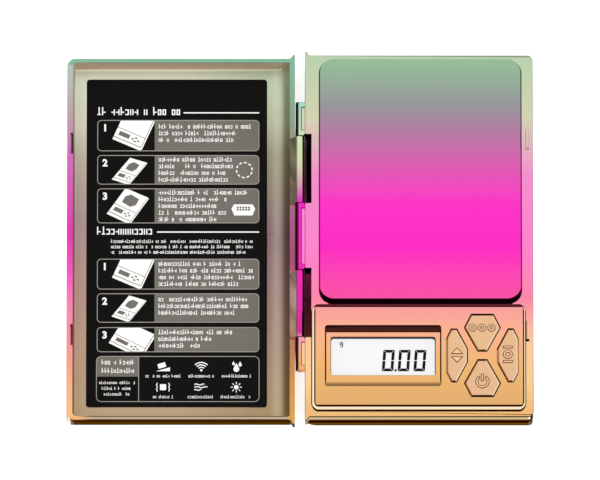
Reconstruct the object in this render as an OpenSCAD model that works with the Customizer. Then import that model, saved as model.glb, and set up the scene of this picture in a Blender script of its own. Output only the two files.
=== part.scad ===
// Digital pocket scale that folds like a book, shown opened flat by half a turn.
// Millimetres, +Z up. The hinge runs along Y above the origin, the body is on the +X side and the lid on the
// -X side, and -Y is the near edge with the control panel. Z = 0 is the table.

/* [Case] */
// Length of both halves along the hinge
case_length = 120; // [112:1:140]
// Width of each half, from its hinge side to its free side
half_width = 72.9; // [70:0.1:84]
// Gap between the two halves where they face each other at the hinge
hinge_gap = 3.2; // [3:0.1:3.8]
// Height of the body's mating face above the table
body_top = 12; // [11.6:0.1:14]
// Wall thickness of the shells at their sides
wall = 1.35; // [1.1:0.05:1.5]
// Thickness of the top face of the body
top_t = 1.2; // [1:0.1:1.4]
// Thickness of the floor of the lower shell
floor_t = 1.4; // [1.3:0.05:1.6]
// Height above the table where the lower and upper shells meet
split_z = 7; // [6.7:0.1:7.1]
// Corner radius of the body's free side, seen from above
body_corner_r = 1.8; // [1.5:0.1:2.6]
// Radius of the body's lower edge on the hinge side
body_heel_r = 6; // [5:0.1:6.4]
// Radius of the body's other lower edges
body_edge_r = 0.8; // [0.5:0.1:1.2]
// Radius of the upper edges of the body
crease_r = 0.4; // [0.2:0.1:0.6]
// Length of the small ears that stand out at the ends of both hinge sides
ear_length = 1.3; // [0.8:0.1:2]
// Width of an ear at its tip
ear_tip_w = 0.5; // [0.4:0.1:0.8]
// Width of an ear at its root
ear_root_w = 1.5; // [1.2:0.1:2]
// Height of the alignment lip that stands up inside the joint of the shells
lip_h = 1; // [0.6:0.1:1.5]
// Thickness of the alignment lip
lip_t = 0.7; // [0.5:0.1:0.9]

/* [Lid] */
// Depth of the lid tray, from its outer face to its rim
lid_depth = 8; // [7.6:0.1:9]
// Thickness of the lid's floor
lid_floor_t = 1.2; // [1:0.1:1.5]
// Width of the lid's rim on the free side
lid_free_rim = 2; // [1.6:0.1:2.1]
// Width of the lid's rim on the hinge side
lid_hinge_rim = 1.7; // [1.5:0.05:1.75]
// Corner radius of the lid's free side, seen from above
lid_corner_r = 2.6; // [2:0.1:3.4]
// Radius of the lid's lower edge on the hinge side
lid_heel_r = 6; // [5:0.1:6.4]
// Radius of the lid's other lower edges
lid_edge_r = 2; // [1.5:0.1:2.2]
// Radius inside the lid where the floor meets the hinge side
lid_sweep_r = 5; // [4:0.1:5.2]
// Radius inside the lid where the floor meets the other walls
lid_fillet_r = 1.1; // [0.8:0.1:1.4]
// Gap between the closed lid's rim and the body
rim_gap = 0.1; // [0.05:0.01:0.2]
// Radius of the round ejector marks in the lid
mark_r = 2.65; // [2:0.05:3]
// Depth of the ejector marks
mark_depth = 0.12; // [0.08:0.01:0.2]

/* [Label] */
// Distance of the label from the lid's free side
label_free_inset = 6.2; // [4:0.1:8]
// Distance of the label from the lid's hinge side
label_hinge_inset = 8.9; // [7.8:0.1:12]
// Distance of the label from the lid's near side
label_near_inset = 6; // [3:0.1:8]
// Distance of the label from the lid's far side
label_far_inset = 5.1; // [3:0.1:8]
// Thickness of the label
label_t = 0.15; // [0.1:0.01:0.25]
// Corner radius of the label
label_r = 1; // [0.6:0.1:2]

/* [Hinge] */
// Radius of the hinge knuckles
knuckle_r = 1.4; // [1.3:0.05:1.45]
// Radius of the hinge pin
pin_r = 0.6; // [0.5:0.05:0.7]
// Radial clearance of the pin in the lid's knuckles
pin_clearance = 0.05; // [0.02:0.01:0.1]
// Length of the middle knuckle
middle_knuckle = 22.2; // [20:0.1:26]
// Length of each lid knuckle with its end gaps
lid_knuckle = 22.3; // [18:0.1:24]
// Length of each outer knuckle
outer_knuckle = 11.2; // [8:0.1:12]
// Gap between neighbouring knuckles
knuckle_gap = 0.3; // [0.2:0.05:0.5]
// Clearance round a lid arm in its pocket
pocket_gap = 0.35; // [0.3:0.05:0.5]
// Wall thickness round the pockets
pocket_wall = 0.95; // [0.8:0.05:1]
// Depth of the pockets below the mating face
pocket_depth = 3.8; // [3.6:0.1:4]
// Depth of the recess in the top of the body's knuckles
knuckle_recess = 0.5; // [0.3:0.1:0.7]
// Distance of that recess from the ends of a knuckle
recess_inset = 1.9; // [1.5:0.1:2.5]

/* [Latch] */
// Distance of each snap tab from the middle of the case
latch_y = 31.8; // [28:0.1:36]
// Length of a snap tab
latch_l = 6.2; // [5:0.1:8]
// Height of a snap tab above the mating face
latch_h = 1.4; // [1:0.1:1.8]
// Thickness of a snap tab
latch_t = 0.9; // [0.7:0.1:1]
// How far the bead of a snap tab stands out
latch_bead = 0.35; // [0.2:0.05:0.4]
// Clearance round a snap tab in the lid's notch
latch_gap = 0.3; // [0.25:0.05:0.35]

/* [Platform] */
// Height of the platform above the mating face
platform_rise = 1.8; // [1.4:0.1:2.4]
// Thickness of the platform plate
platform_t = 1.2; // [1:0.1:1.3]
// Distance from the body's hinge side to the platform
platform_left = 4.8; // [4.6:0.1:6]
// Distance from the body's free side to the platform
platform_right = 3.9; // [3.6:0.1:5]
// Distance from the body's far edge to the platform
platform_far = 1.8; // [1.75:0.05:2.4]
// Width of the groove between the platform and the control panel
groove_w = 1.3; // [1:0.1:1.8]
// Corner radius of the platform
platform_r = 4.4; // [3.5:0.1:5]
// Height of the skirt under the platform's edge
skirt_h = 2; // [1.8:0.1:2.1]
// Thickness of the skirt
skirt_t = 1; // [0.8:0.1:1.2]
// Gap round the platform
platform_gap = 0.3; // [0.25:0.05:0.4]
// Width of the ledge under the platform's edge
shelf_w = 2.5; // [2:0.1:2.8]
// Thickness of the ledge under the platform's edge
shelf_t = 0.8; // [0.7:0.1:1]
// How far the platform sinks under its full load
platform_travel = 0.3; // [0.2:0.05:0.35]

/* [Weighing system] */
// Length of the load cell beam
cell_l = 47; // [44:0.5:50]
// Width of the load cell beam
cell_w = 12; // [10:0.5:14]
// Height of the load cell beam
cell_h = 6; // [5.6:0.1:6.1]
// Height of the pad under the beam's fixed end
cell_pad_h = 1.2; // [1:0.1:1.3]
// Distance from the groove to the beam's fixed end
cell_start = 16.6; // [14:0.1:18]
// Radius of the two bores that weaken the beam
cell_bore_r = 2.3; // [2:0.1:2.4]
// Distance between those two bores
cell_bore_pitch = 8; // [7:0.1:9]
// Distance between the two screws at each end of the beam
cell_screw_pitch = 7; // [6.5:0.1:8]
// Distance from an end of the beam to its outer screw
cell_screw_end = 3.5; // [3.3:0.1:4]
// Radius of the load cell screws
cell_screw_r = 1.5; // [1.25:0.05:1.6]
// Radial clearance of a screw in a plain hole
screw_clearance = 0.1; // [0.05:0.01:0.2]
// Height of the spacer between the beam's free end and the carrier
spacer_h = 1; // [0.9:0.1:1.2]
// Thickness of the carrier plate
carrier_t = 1.2; // [1:0.1:1.3]
// Distance from the platform's edge to the carrier
carrier_inset = 5.6; // [5:0.1:7]
// Distance from the carrier's edge to the middle of an overload stop
stop_inset = 4.5; // [4:0.1:6]
// Radius of an overload stop
stop_r = 2; // [1.5:0.1:2.5]
// Radius of the posts that join the platform to its carrier
post_r = 2; // [1.5:0.1:2.5]
// Distance from the carrier's edge to the middle of such a post
post_inset = 9.5; // [9:0.1:12]

/* [Control panel] */
// Size of the control panel from its near wall to its far wall
panel_l = 35.45; // [35:0.05:37]
// Gap between the panel and the closed lid's near wall
panel_gap = 0.3; // [0.25:0.05:0.4]
// Gap between the panel and the closed lid's rim on the hinge side
panel_left_gap = 0.3; // [0.25:0.05:0.4]
// Height of the control panel above the mating face
panel_rise = 2.5; // [2.3:0.1:2.8]
// Height of the step round the panel
step_rise = 1.3; // [1:0.1:1.4]
// Width of the step on the hinge side
step_left = 0.7; // [0.5:0.1:0.9]
// Width of the step on the free side
step_right = 0.4; // [0.3:0.05:0.5]
// Width of the step on the near side
step_near = 0.95; // [0.7:0.05:1.1]
// Width of the step on the far side
step_far = 0.7; // [0.5:0.1:0.9]
// How far the step's wall leans in
step_lean = 0.25; // [0.1:0.05:0.3]
// How far the plate's wall leans in
plate_lean = 0.4; // [0.2:0.05:0.45]
// Corner radius of the step
step_r = 3; // [2.5:0.1:3.5]
// Corner radius of the plate
plate_r = 1.8; // [1.2:0.1:2.4]
// Thickness of the panel
panel_t = 1.2; // [1:0.1:1.3]

/* [Display] */
// Distance from the display window to the mode key
window_right = 3.7; // [3.4:0.1:5]
// Height of the display window
window_l = 12.6; // [11:0.1:12.8]
// Distance from the panel's hinge side to the window
window_left = 6.3; // [6.1:0.1:7]
// Distance from the panel's near wall to the window
window_near = 11.9; // [11.6:0.1:13]
// Width of the flat frame round the window
frame_w = 1.5; // [1.2:0.1:1.6]
// Depth of the display recess
recess_depth = 2; // [1.6:0.1:2.1]
// How far the recess slopes out at its sides
slope_side = 0.4; // [0.2:0.1:0.5]
// How far the recess slopes out at its far side
slope_far = 1.9; // [1.5:0.1:2.2]
// How far the recess slopes out at its near side
slope_near = 2.7; // [2:0.1:3]
// Thickness of the flat frame round the window
frame_t = 1; // [0.8:0.1:1.1]
// Corner radius of the window
window_r = 0.7; // [0.4:0.1:1]
// Thickness of the display window
lens_t = 0.8; // [0.6:0.05:0.85]
// Thickness of the display's glass
glass_t = 1.6; // [1.4:0.1:1.7]
// How far the glass reaches past the window
glass_margin = 2; // [1.8:0.1:2.1]
// Thickness of the holder's walls
holder_t = 0.8; // [0.6:0.1:0.9]

/* [Keys] */
// Distance from the body's free side to the middle of the keys
keys_right = 16.3; // [16.2:0.1:17]
// Distance from the body's near edge to the middle of the keys
keys_near = 19.5; // [19:0.1:20]
// Distance from the middle to the outer edge of the count and power keys
end_key_reach = 13.5; // [13:0.1:13.8]
// Distance from the middle to the widest part of those keys
end_key_shoulder = 9.2; // [8.8:0.1:9.6]
// Distance from the middle to the inner edge of those keys
end_key_start = 1.5; // [1.3:0.1:2]
// Width of those keys at their outer edge
end_key_edge_w = 6.9; // [6:0.1:7.4]
// Greatest width of those keys
end_key_w = 11.2; // [10.6:0.1:11.6]
// Width of those keys at their inner edge
end_key_tip_w = 2.8; // [2.4:0.1:3.2]
// Distance from the middle to the outer edge of the mode and tare keys
side_key_reach = 11.3; // [10.9:0.1:11.4]
// Distance from the middle to the inner edge of those keys
side_key_start = 4.9; // [4.7:0.1:5.4]
// Half the length of those keys
side_key_half = 8.7; // [8.4:0.1:9]
// Half the length of the outer edge of those keys
side_key_outer = 5.6; // [5.2:0.1:6]
// Half the length of the inner edge of those keys
side_key_inner = 2.2; // [1.9:0.1:2.5]
// Width of the end edges of those keys
side_key_end_w = 1.5; // [1.2:0.1:1.8]
// Gap between a key and the panel
key_gap = 0.15; // [0.12:0.01:0.2]
// Width of the bevel round a key
key_bevel = 0.3; // [0.2:0.05:0.35]
// How far a key stands out of the panel
key_proud = 0.2; // [0.1:0.05:0.4]
// Travel of a key
key_travel = 0.35; // [0.2:0.05:0.4]
// Width of the flange that holds a key in
key_flange = 0.45; // [0.4:0.05:0.5]
// Thickness of that flange
key_flange_t = 0.9; // [0.8:0.05:1]
// Radius of the stem under a key
stem_r = 1.4; // [1:0.1:1.5]
// Width of a switch on the board
switch_w = 4.5; // [4:0.1:5]
// Height of a switch on the board
switch_h = 3; // [2.8:0.05:3.05]
// Radius of a switch's plunger
plunger_r = 1; // [0.8:0.05:1.2]
// Radial clearance of a plunger in its switch
plunger_clearance = 0.05; // [0.03:0.01:0.1]
// How far a plunger reaches down into its switch
plunger_depth = 1.2; // [1:0.1:1.4]

/* [Board] */
// Thickness of the circuit board
board_t = 0.8; // [0.8:0.05:1]
// Height of the board's upper face above the table
board_z = 8; // [8:0.05:8.15]
// Gap between the board and the shells
board_gap = 0.9; // [0.8:0.05:1]
// Radius of the board screws
board_screw_r = 0.8; // [0.7:0.05:0.9]
// Radius of the board screws' heads
board_head_r = 1.5; // [1.3:0.1:1.6]
// Radius of the posts that carry the board
board_post_r = 1.7; // [1.5:0.1:1.75]

/* [Battery bay] */
// Radius of a coin cell
coin_r = 10; // [9.5:0.1:10.2]
// Thickness of a coin cell
coin_t = 3.2; // [2.8:0.1:3.25]
// Clearance round the coin cells
coin_gap = 0.5; // [0.4:0.05:0.8]
// Gap between the two coin cells
coin_spacing = 2; // [1.5:0.1:2.5]
// Distance from the body's hinge side to the middle of the first cell
coin_left = 25.9; // [25.4:0.1:26.4]
// Distance from the body's near edge to the middle of the cells
coin_near = 19; // [18.6:0.1:19.4]
// Thickness of the walls of the battery bay
bay_wall = 1.6; // [1.3:0.1:1.8]
// Thickness of the roof of the battery bay
bay_roof_t = 0.7; // [0.6:0.05:0.75]
// Thickness of the contact springs
contact_t = 0.25; // [0.2:0.01:0.3]
// Thickness of the outer half of the door
door_skin_t = 0.7; // [0.6:0.05:0.75]
// Width of the tongues along the door's sides
door_tongue = 0.8; // [0.6:0.1:0.9]
// Clearance round the door
door_gap = 0.1; // [0.08:0.01:0.15]
// How far the door slides until it comes free
door_travel = 28; // [20:1:30]
// Width of the grip ribs on the door
grip_w = 14; // [10:1:20]

/* [Fasteners and feet] */
// Height of the feet below the lower shell
foot_h = 0.5; // [0.4:0.05:0.7]
// Radius of a foot
foot_r = 3; // [2.5:0.1:3.1]
// Depth of a foot's recess in the shell
foot_seat = 0.5; // [0.4:0.05:0.6]
// Distance from the hinge side to the feet near it
foot_left = 9.6; // [9.4:0.1:10]
// Distance from the near and far edges to the feet
foot_inset = 11; // [10.6:0.1:12]
// Distance from the hinge side to the case screws near it
screw_left = 7.6; // [7.4:0.1:7.8]
// Distance from the free side to the case screws near it
screw_right = 4.3; // [4.2:0.1:4.6]
// Distance from the near and far edges to the case screws
screw_inset = 4.1; // [4:0.1:4.3]
// Radius of the case screws
case_screw_r = 0.9; // [0.8:0.05:1]
// Radius of the case screws' heads
case_head_r = 1.7; // [1.5:0.1:1.75]
// Height of the case screws' heads
case_head_h = 1.1; // [0.9:0.1:1.2]
// Radius of the bosses round the case screws
case_boss_r = 2.2; // [2:0.05:2.25]

/* [Hidden] */
$fn = 48;
// Extra length of a cut past the face that it opens
over = 1;

// Edges of the body and heights of its levels
x_in = hinge_gap / 2;
x_out = x_in + half_width;
y_far = case_length / 2;
y_near = -y_far;
base_z = foot_h;
floor_z = base_z + floor_t;
under_top_z = body_top - top_t;
axis_z = (body_top + lid_depth) / 2;

// The hinge segments, the lid's arms and the pockets that take them
middle_end = middle_knuckle / 2;
lid_end = middle_end + lid_knuckle;
outer_end = lid_end + outer_knuckle;
arm_x = x_in + lid_hinge_rim;
pocket_x1 = arm_x + pocket_gap;
lid_rim_z = lid_depth - rim_gap;

// The control panel
panel_x0 = x_in + lid_hinge_rim + panel_left_gap;
panel_x1 = x_out - lid_free_rim - panel_left_gap;
panel_y0 = y_near + wall + panel_gap;
panel_y1 = panel_y0 + panel_l;
step_z = body_top + step_rise;
panel_z = body_top + panel_rise;
plate_x0 = panel_x0 + step_lean + step_left;
plate_x1 = panel_x1 - step_lean - step_right;
plate_y0 = panel_y0 + step_lean + step_near;
plate_y1 = panel_y1 - step_lean - step_far;
under_panel_z = panel_z - panel_t;

// The platform and the opening round it
platform_x0 = x_in + platform_left;
platform_x1 = x_out - platform_right;
platform_y0 = panel_y1 + groove_w;
platform_y1 = y_far - platform_far;
platform_z = body_top + platform_rise;
under_plate_z = platform_z - platform_t;
skirt_z = under_plate_z - skirt_h;
opening_x0 = platform_x0 - platform_gap;
opening_x1 = platform_x1 + platform_gap;
opening_y1 = platform_y1 + platform_gap;
opening_r = platform_r + platform_gap;
shelf_z = skirt_z - platform_travel - platform_gap;

// The weighing system, stacked upwards from the floor
cell_x = (platform_x0 + platform_x1) / 2;
cell_y0 = panel_y1 + groove_w + cell_start;
cell_y1 = cell_y0 + cell_l;
cell_z0 = floor_z + cell_pad_h;
cell_z1 = cell_z0 + cell_h;
carrier_z0 = cell_z1 + spacer_h;
carrier_z1 = carrier_z0 + carrier_t;
carrier_x0 = platform_x0 + carrier_inset;
carrier_x1 = platform_x1 - carrier_inset;
carrier_y0 = platform_y0 + carrier_inset;
carrier_y1 = platform_y1 - carrier_inset;
cell_end_l = cell_screw_pitch + 2 * cell_screw_end;
cell_middle = (cell_y0 + cell_y1) / 2;
fixed_screws = [for (i = [0, 1]) cell_y0 + cell_screw_end + i * cell_screw_pitch];
free_screws = [for (i = [0, 1]) cell_y1 - cell_screw_end - i * cell_screw_pitch];
cell_head_r = 2.7;
cell_head_h = 1.1;
cell_thread_l = 4.5;
gauge_half_l = 7;
film_t = 0.2;

// The middle of the four keys
keys_x = x_out - keys_right;
keys_y = y_near + keys_near;

// The display stack, downwards from its recess
window_x0 = panel_x0 + window_left;
window_x1 = keys_x - side_key_reach - window_right;
window_y0 = panel_y0 + window_near;
window_y1 = window_y0 + window_l;
frame_z = panel_z - recess_depth;
lens_z1 = frame_z - frame_t;
lens_z0 = lens_z1 - lens_t;
lens_margin = 1;
glass_z1 = lens_z0 - 0.1;
glass_z0 = glass_z1 - glass_t;
guide_gap = 0.15;
contact_edge = 0.6;
strip_w = 1.5;

// The keys and their switches
key_z = panel_z + key_proud;
flange_z1 = under_panel_z - 0.1;
flange_z0 = flange_z1 - key_flange_t;
switch_z1 = board_z + switch_h;
stem_z = switch_z1 + key_travel + 0.05;
board_bottom = board_z - board_t;

// Outlines of the two kinds of key, round the middle of the four keys
end_key = [
    [-end_key_edge_w / 2, end_key_reach],
    [-end_key_w / 2, end_key_shoulder],
    [-end_key_tip_w / 2, end_key_start],
    [end_key_tip_w / 2, end_key_start],
    [end_key_w / 2, end_key_shoulder],
    [end_key_edge_w / 2, end_key_reach]];
side_key_end = side_key_reach - side_key_end_w;
side_key = [
    [side_key_reach, -side_key_outer],
    [side_key_reach, side_key_outer],
    [side_key_end, side_key_half],
    [side_key_end - side_key_end_w, side_key_half],
    [side_key_start, side_key_inner],
    [side_key_start, -side_key_inner],
    [side_key_end - side_key_end_w, -side_key_half],
    [side_key_end, -side_key_half]];
end_key_middle = [0, (end_key_reach + end_key_start) / 2];
side_key_middle = [(side_key_reach + side_key_start) / 2, 0];

// The board, its parts beside the battery bay and its screws
board_side_gap = 0.4;
board_far_gap = 3.9;
board_screw_len = 4;
board_head_h = 0.9;
chip_w = 5;
chip_l = 8;
chip_h = 1.4;
crystal_l = 1.9;
chip_row_gap = 1.5;
capacitor_w = 0.8;
capacitor_pitch = 1.2;
board_x0 = pocket_x1 + pocket_wall + board_side_gap;
board_x1 = x_out - wall - board_gap;
board_y0 = y_near + wall + board_gap;
board_y1 = platform_y0 - board_far_gap;
board_screw_inset = 2;
board_screw_left = board_x0 + 1.55;
board_screw_right = board_x1 - 3.2;
board_screw_xy = [
    [board_screw_left, board_y0 + 5.1],
    [board_screw_left, board_y1 - board_screw_inset],
    [board_screw_right, board_y0 + 10],
    [board_screw_right, board_y1 - board_screw_inset]];

// The battery bay and its door
coin_x = [for (i = [0, 1]) x_in + coin_left + i * (2 * coin_r + coin_spacing)];
coin_y = y_near + coin_near;
bay_x0 = coin_x[0] - coin_r - coin_gap;
bay_x1 = coin_x[1] + coin_r + coin_gap;
chip_x0 = bay_x0 - bay_wall - 0.8 - chip_w;
bay_y0 = coin_y - coin_r - coin_gap;
bay_y1 = coin_y + coin_r + coin_gap;
coin_z0 = floor_z + 0.1;
coin_z1 = coin_z0 + coin_t;
bay_roof_z = coin_z1 + contact_t + 0.1;
door_step_z = base_z + door_skin_t;
door_top_z = floor_z - 0.05;
door_x0 = bay_x0 - door_tongue;
door_x1 = bay_x1 + door_tongue;

// Places of the feet, on one side midway between the battery door and the free side, and of the case screws
foot_x = [x_in + foot_left, (door_x1 + x_out) / 2];
foot_xy = [for (x = foot_x, s = [-1, 1]) [x, s * (y_far - foot_inset)]];
screw_xy = [for (x = [x_in + screw_left, x_out - screw_right], s = [-1, 1]) [x, s * (y_far - screw_inset)]];
boss_z0 = floor_z + 1.2;
screw_hole_z = split_z + 2;

// A rectangle with its own radius at each corner: near left, near right, far right, far left
module round_rect(x0, y0, x1, y1, r) {
    difference() {
        translate([x0, y0])
            square([x1 - x0, y1 - y0]);
        corner_cut(x0, y0, r[0], 1, 1);
        corner_cut(x1, y0, r[1], -1, 1);
        corner_cut(x1, y1, r[2], -1, -1);
        corner_cut(x0, y1, r[3], 1, -1);
    }
}

module corner_cut(x, y, r, sx, sy) {
    if (r > 0)
        translate([x, y])
            mirror([sx < 0 ? 1 : 0, 0])
                mirror([0, sy < 0 ? 1 : 0])
                    difference() {
                        translate([-over, -over])
                            square(r + over);
                        translate([r, r])
                            circle(r);
                    }
}

// A box between two opposite corners
module block(low, high) {
    translate(low)
        cube(high - low);
}

// A plate between two heights with an outline drawn in X and Y
module plate(z0, z1) {
    translate([0, 0, z0])
        linear_extrude(z1 - z0)
            children();
}

// A bar along Y with a profile drawn in X and Z
module bar_y(y0, y1) {
    translate([0, y1, 0])
        rotate([90, 0, 0])
            linear_extrude(y1 - y0)
                children();
}

// A bar along X with a profile drawn in Y and Z
module bar_x(x0, x1) {
    translate([x0, 0, 0])
        rotate([90, 0, 90])
            linear_extrude(x1 - x0)
                children();
}

// A round peg or hole between two heights
module peg(p, r, z0, z1) {
    translate([p[0], p[1], z0])
        cylinder(r = r, h = z1 - z0);
}

// The outer form of the body, with every edge rounded
module body_form() {
    intersection() {
        plate(base_z, body_top)
            round_rect(x_in, y_near, x_out, y_far, [0, body_corner_r, body_corner_r, 0]);
        bar_y(y_near - over, y_far + over)
            round_rect(x_in, base_z, x_out, body_top, [body_heel_r, body_edge_r, crease_r, crease_r]);
        bar_x(x_in - over, x_out + over)
            round_rect(y_near, base_z, y_far, body_top, [body_edge_r, body_edge_r, crease_r, crease_r]);
    }
}

// The hollow inside the body, one wall smaller all round
module body_hollow(z1) {
    inner_heel = body_heel_r - wall;
    inner_corner = max(body_corner_r - wall, 0);
    intersection() {
        plate(floor_z, z1)
            round_rect(x_in + wall, y_near + wall, x_out - wall, y_far - wall,
                [0, inner_corner, inner_corner, 0]);
        bar_y(y_near, y_far)
            round_rect(x_in + wall, floor_z, x_out - wall, z1 + over, [inner_heel, 0, 0, 0]);
    }
}

// An ear at each end of a hinge side, for the body with side 1 or the lid with side -1
module ears(side, z0, z1) {
    for (s = [-1, 1])
        scale([side, s, 1])
            plate(z0, z1)
                polygon([
                    [x_in, y_far - over],
                    [x_in, y_far + ear_length],
                    [x_in + ear_tip_w, y_far + ear_length],
                    [x_in + ear_root_w, y_far],
                    [x_in + ear_root_w, y_far - over]]);
}

// The step and the plate of the control panel, each with leaning walls
module leaning_plate(x0, y0, x1, y1, z0, z1, lean, r) {
    intersection() {
        plate(z0 - over, z1)
            round_rect(x0, y0, x1, y1, [r, r, r, r]);
        bar_y(y0 - over, y1 + over)
            polygon([[x0, z0 - over], [x0, z0], [x0 + lean, z1],
                [x1 - lean, z1], [x1, z0], [x1, z0 - over]]);
        bar_x(x0 - over, x1 + over)
            polygon([[y0, z0 - over], [y0, z0], [y0 + lean, z1],
                [y1 - lean, z1], [y1, z0], [y1, z0 - over]]);
    }
}

module panel_form() {
    leaning_plate(panel_x0, panel_y0, panel_x1, panel_y1, body_top, step_z, step_lean, step_r);
    leaning_plate(plate_x0, plate_y0, plate_x1, plate_y1, step_z, panel_z, plate_lean, plate_r);
}

// The hollow under the raised part of the panel
module panel_hollow() {
    plate(under_top_z - over, under_panel_z)
        round_rect(plate_x0 + panel_t, plate_y0 + panel_t, plate_x1 - panel_t / 2, plate_y1 - panel_t,
            [plate_r, plate_r, plate_r, plate_r]);
}

// The opening round the platform, whose near edge is the panel's far wall
module opening(z0, z1, inset) {
    plate(z0, z1)
        round_rect(opening_x0 + inset, panel_y1 + inset, opening_x1 - inset, opening_y1 - inset,
            [opening_r, opening_r, opening_r, opening_r]);
}

// The display recess with its sloping sides
module recess() {
    x0 = window_x0 - frame_w;
    x1 = window_x1 + frame_w;
    y0 = window_y0 - frame_w;
    y1 = window_y1 + frame_w;
    intersection() {
        plate(frame_z, panel_z + over)
            round_rect(x0 - slope_side, y0 - slope_near, x1 + slope_side, y1 + slope_far, [1, 1, 1, 1]);
        bar_y(y0 - slope_near - over, y1 + slope_far + over)
            polygon([[x0, frame_z], [x0 - slope_side, panel_z], [x0 - slope_side, panel_z + over],
                [x1 + slope_side, panel_z + over], [x1 + slope_side, panel_z], [x1, frame_z]]);
        bar_x(x0 - slope_side - over, x1 + slope_side + over)
            polygon([[y0, frame_z], [y0 - slope_near, panel_z], [y0 - slope_near, panel_z + over],
                [y1 + slope_far, panel_z + over], [y1 + slope_far, panel_z], [y1, frame_z]]);
    }
}

// The tub of plastic round the recess, under the panel
module recess_tub() {
    side = frame_w + slope_side + 0.7;
    block([window_x0 - side, window_y0 - frame_w - slope_near - 0.7, lens_z1],
        [window_x1 + side, window_y1 + frame_w + slope_far + 0.7, under_panel_z + 0.1]);
}

// Places one key outline in the panel: 0 count, 1 power, 2 tare, 3 mode
module at_key(i) {
    translate([keys_x, keys_y, 0])
        scale([i == 3 ? -1 : 1, i == 1 ? -1 : 1, 1])
            children();
}

module key_outline(i) {
    polygon(i < 2 ? end_key : side_key);
}

function key_middle(i) = i < 2 ? end_key_middle : side_key_middle;

// A key's outline grown by a margin, as a straight plate
module key_plate(i, margin, z0, z1) {
    at_key(i)
        plate(z0, z1)
            offset(delta = margin)
                key_outline(i);
}

// Bevelled edge between two outlines of one key
module key_taper(i, low_margin, high_margin, z0, z1) {
    at_key(i)
        hull() {
            plate(z0, z0 + 0.01)
                offset(delta = low_margin)
                    key_outline(i);
            plate(z1 - 0.01, z1)
                offset(delta = high_margin)
                    key_outline(i);
        }
}

// A body knuckle between two places along the hinge, flat on top and joined to the side of the body
module body_knuckle(y0, y1) {
    difference() {
        bar_y(y0, y1)
            round_rect(-knuckle_r, axis_z - knuckle_r, x_in + wall / 2, axis_z + knuckle_r,
                [knuckle_r, 0, 0, knuckle_r]);
        block([pin_r, y0 + recess_inset, axis_z + knuckle_r - knuckle_recess],
            [x_in + over, y1 - recess_inset, axis_z + knuckle_r + over]);
    }
}

// The blocks behind the pockets that take the lid's arms
module pocket_blocks() {
    for (s = [-1, 1])
        scale([1, s, 1])
            block([x_in + wall / 2, middle_end - pocket_wall, split_z],
                [pocket_x1 + pocket_wall, lid_end + pocket_wall, under_top_z + 0.1]);
}

module pockets() {
    for (s = [-1, 1])
        scale([1, s, 1])
            block([x_in - 0.1, middle_end - knuckle_gap, body_top - pocket_depth],
                [pocket_x1, lid_end + knuckle_gap, body_top + over]);
}

// The snap tabs on the body's free side, each with a bead that faces outwards
module snap_tabs() {
    x0 = x_out - lid_free_rim - latch_bead;
    for (s = [-1, 1])
        bar_y(s * latch_y - latch_l / 2, s * latch_y + latch_l / 2)
            polygon([
                [x0, body_top - 0.5],
                [x0, body_top + latch_h],
                [x0 + latch_t, body_top + latch_h],
                [x0 + latch_t + latch_bead, body_top + latch_h - latch_bead],
                [x0 + latch_t, body_top + latch_h - 2 * latch_bead],
                [x0 + latch_t, body_top - 0.5]]);
}

module top_frame() {
    color("pink")
        difference() {
            union() {
                difference() {
                    intersection() {
                        body_form();
                        block([x_in, y_near, split_z], [x_out, y_far, body_top]);
                    }
                    body_hollow(under_top_z);
                }
                ears(1, split_z, body_top - 0.05);
                panel_form();
                opening(shelf_z - shelf_t, body_top - 0.1, -1);
                pocket_blocks();
                snap_tabs();
                for (p = screw_xy)
                    peg(p, case_boss_r, boss_z0, p[1] > 0 ? shelf_z : under_top_z + 0.1);
                for (s = [-1, 1])
                    scale([1, s, 1])
                        body_knuckle(lid_end, outer_end);
                body_knuckle(-middle_end, middle_end);
            }
            opening(shelf_z, panel_z + over, 0);
            opening(shelf_z - shelf_t - over, shelf_z + over, shelf_w);
            difference() {
                panel_hollow();
                recess_tub();
            }
            recess();
            plate(lens_z1 - over, frame_z + over)
                round_rect(window_x0, window_y0, window_x1, window_y1,
                    [window_r, window_r, window_r, window_r]);
            for (i = [0:3])
                key_plate(i, key_gap, under_panel_z - over, panel_z + over);
            pockets();
            for (p = screw_xy)
                peg(p, case_screw_r, boss_z0 - over, screw_hole_z);
            translate([0, outer_end + over, axis_z])
                rotate([90, 0, 0])
                    cylinder(r = pin_r, h = 2 * (outer_end + over));
        }
}

module bottom_shell() {
    color("goldenrod")
        difference() {
            union() {
                difference() {
                    intersection() {
                        body_form();
                        block([x_in, y_near, base_z], [x_out, y_far, split_z]);
                    }
                    body_hollow(split_z + over);
                }
                lip();
                bay();
                block([cell_x - cell_w / 2, cell_y0, floor_z - 0.1],
                    [cell_x + cell_w / 2, cell_y0 + cell_end_l, cell_z0]);
                intersection() {
                    body_form();
                    union() {
                        for (p = board_screw_xy)
                            peg(p, board_post_r, floor_z - 0.1, board_bottom);
                        for (p = screw_xy)
                            peg(p, case_boss_r, floor_z - 0.1, boss_z0);
                        overload_stops();
                    }
                }
            }
            door_opening();
            bay_hollow();
            for (p = board_screw_xy)
                peg(p, board_screw_r, floor_z + 1, board_z);
            for (p = screw_xy) {
                peg(p, case_head_r + screw_clearance, base_z - over, base_z + case_head_h + 0.1);
                peg(p, case_screw_r + screw_clearance, base_z, boss_z0 + over);
            }
            for (p = foot_xy)
                peg(p, foot_r, base_z - over, base_z + foot_seat);
            for (y = fixed_screws) {
                peg([cell_x, y], cell_head_r + screw_clearance, base_z - over, base_z + cell_head_h + 0.1);
                peg([cell_x, y], cell_screw_r + screw_clearance, base_z, cell_z0 + over);
            }
        }
}

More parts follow.
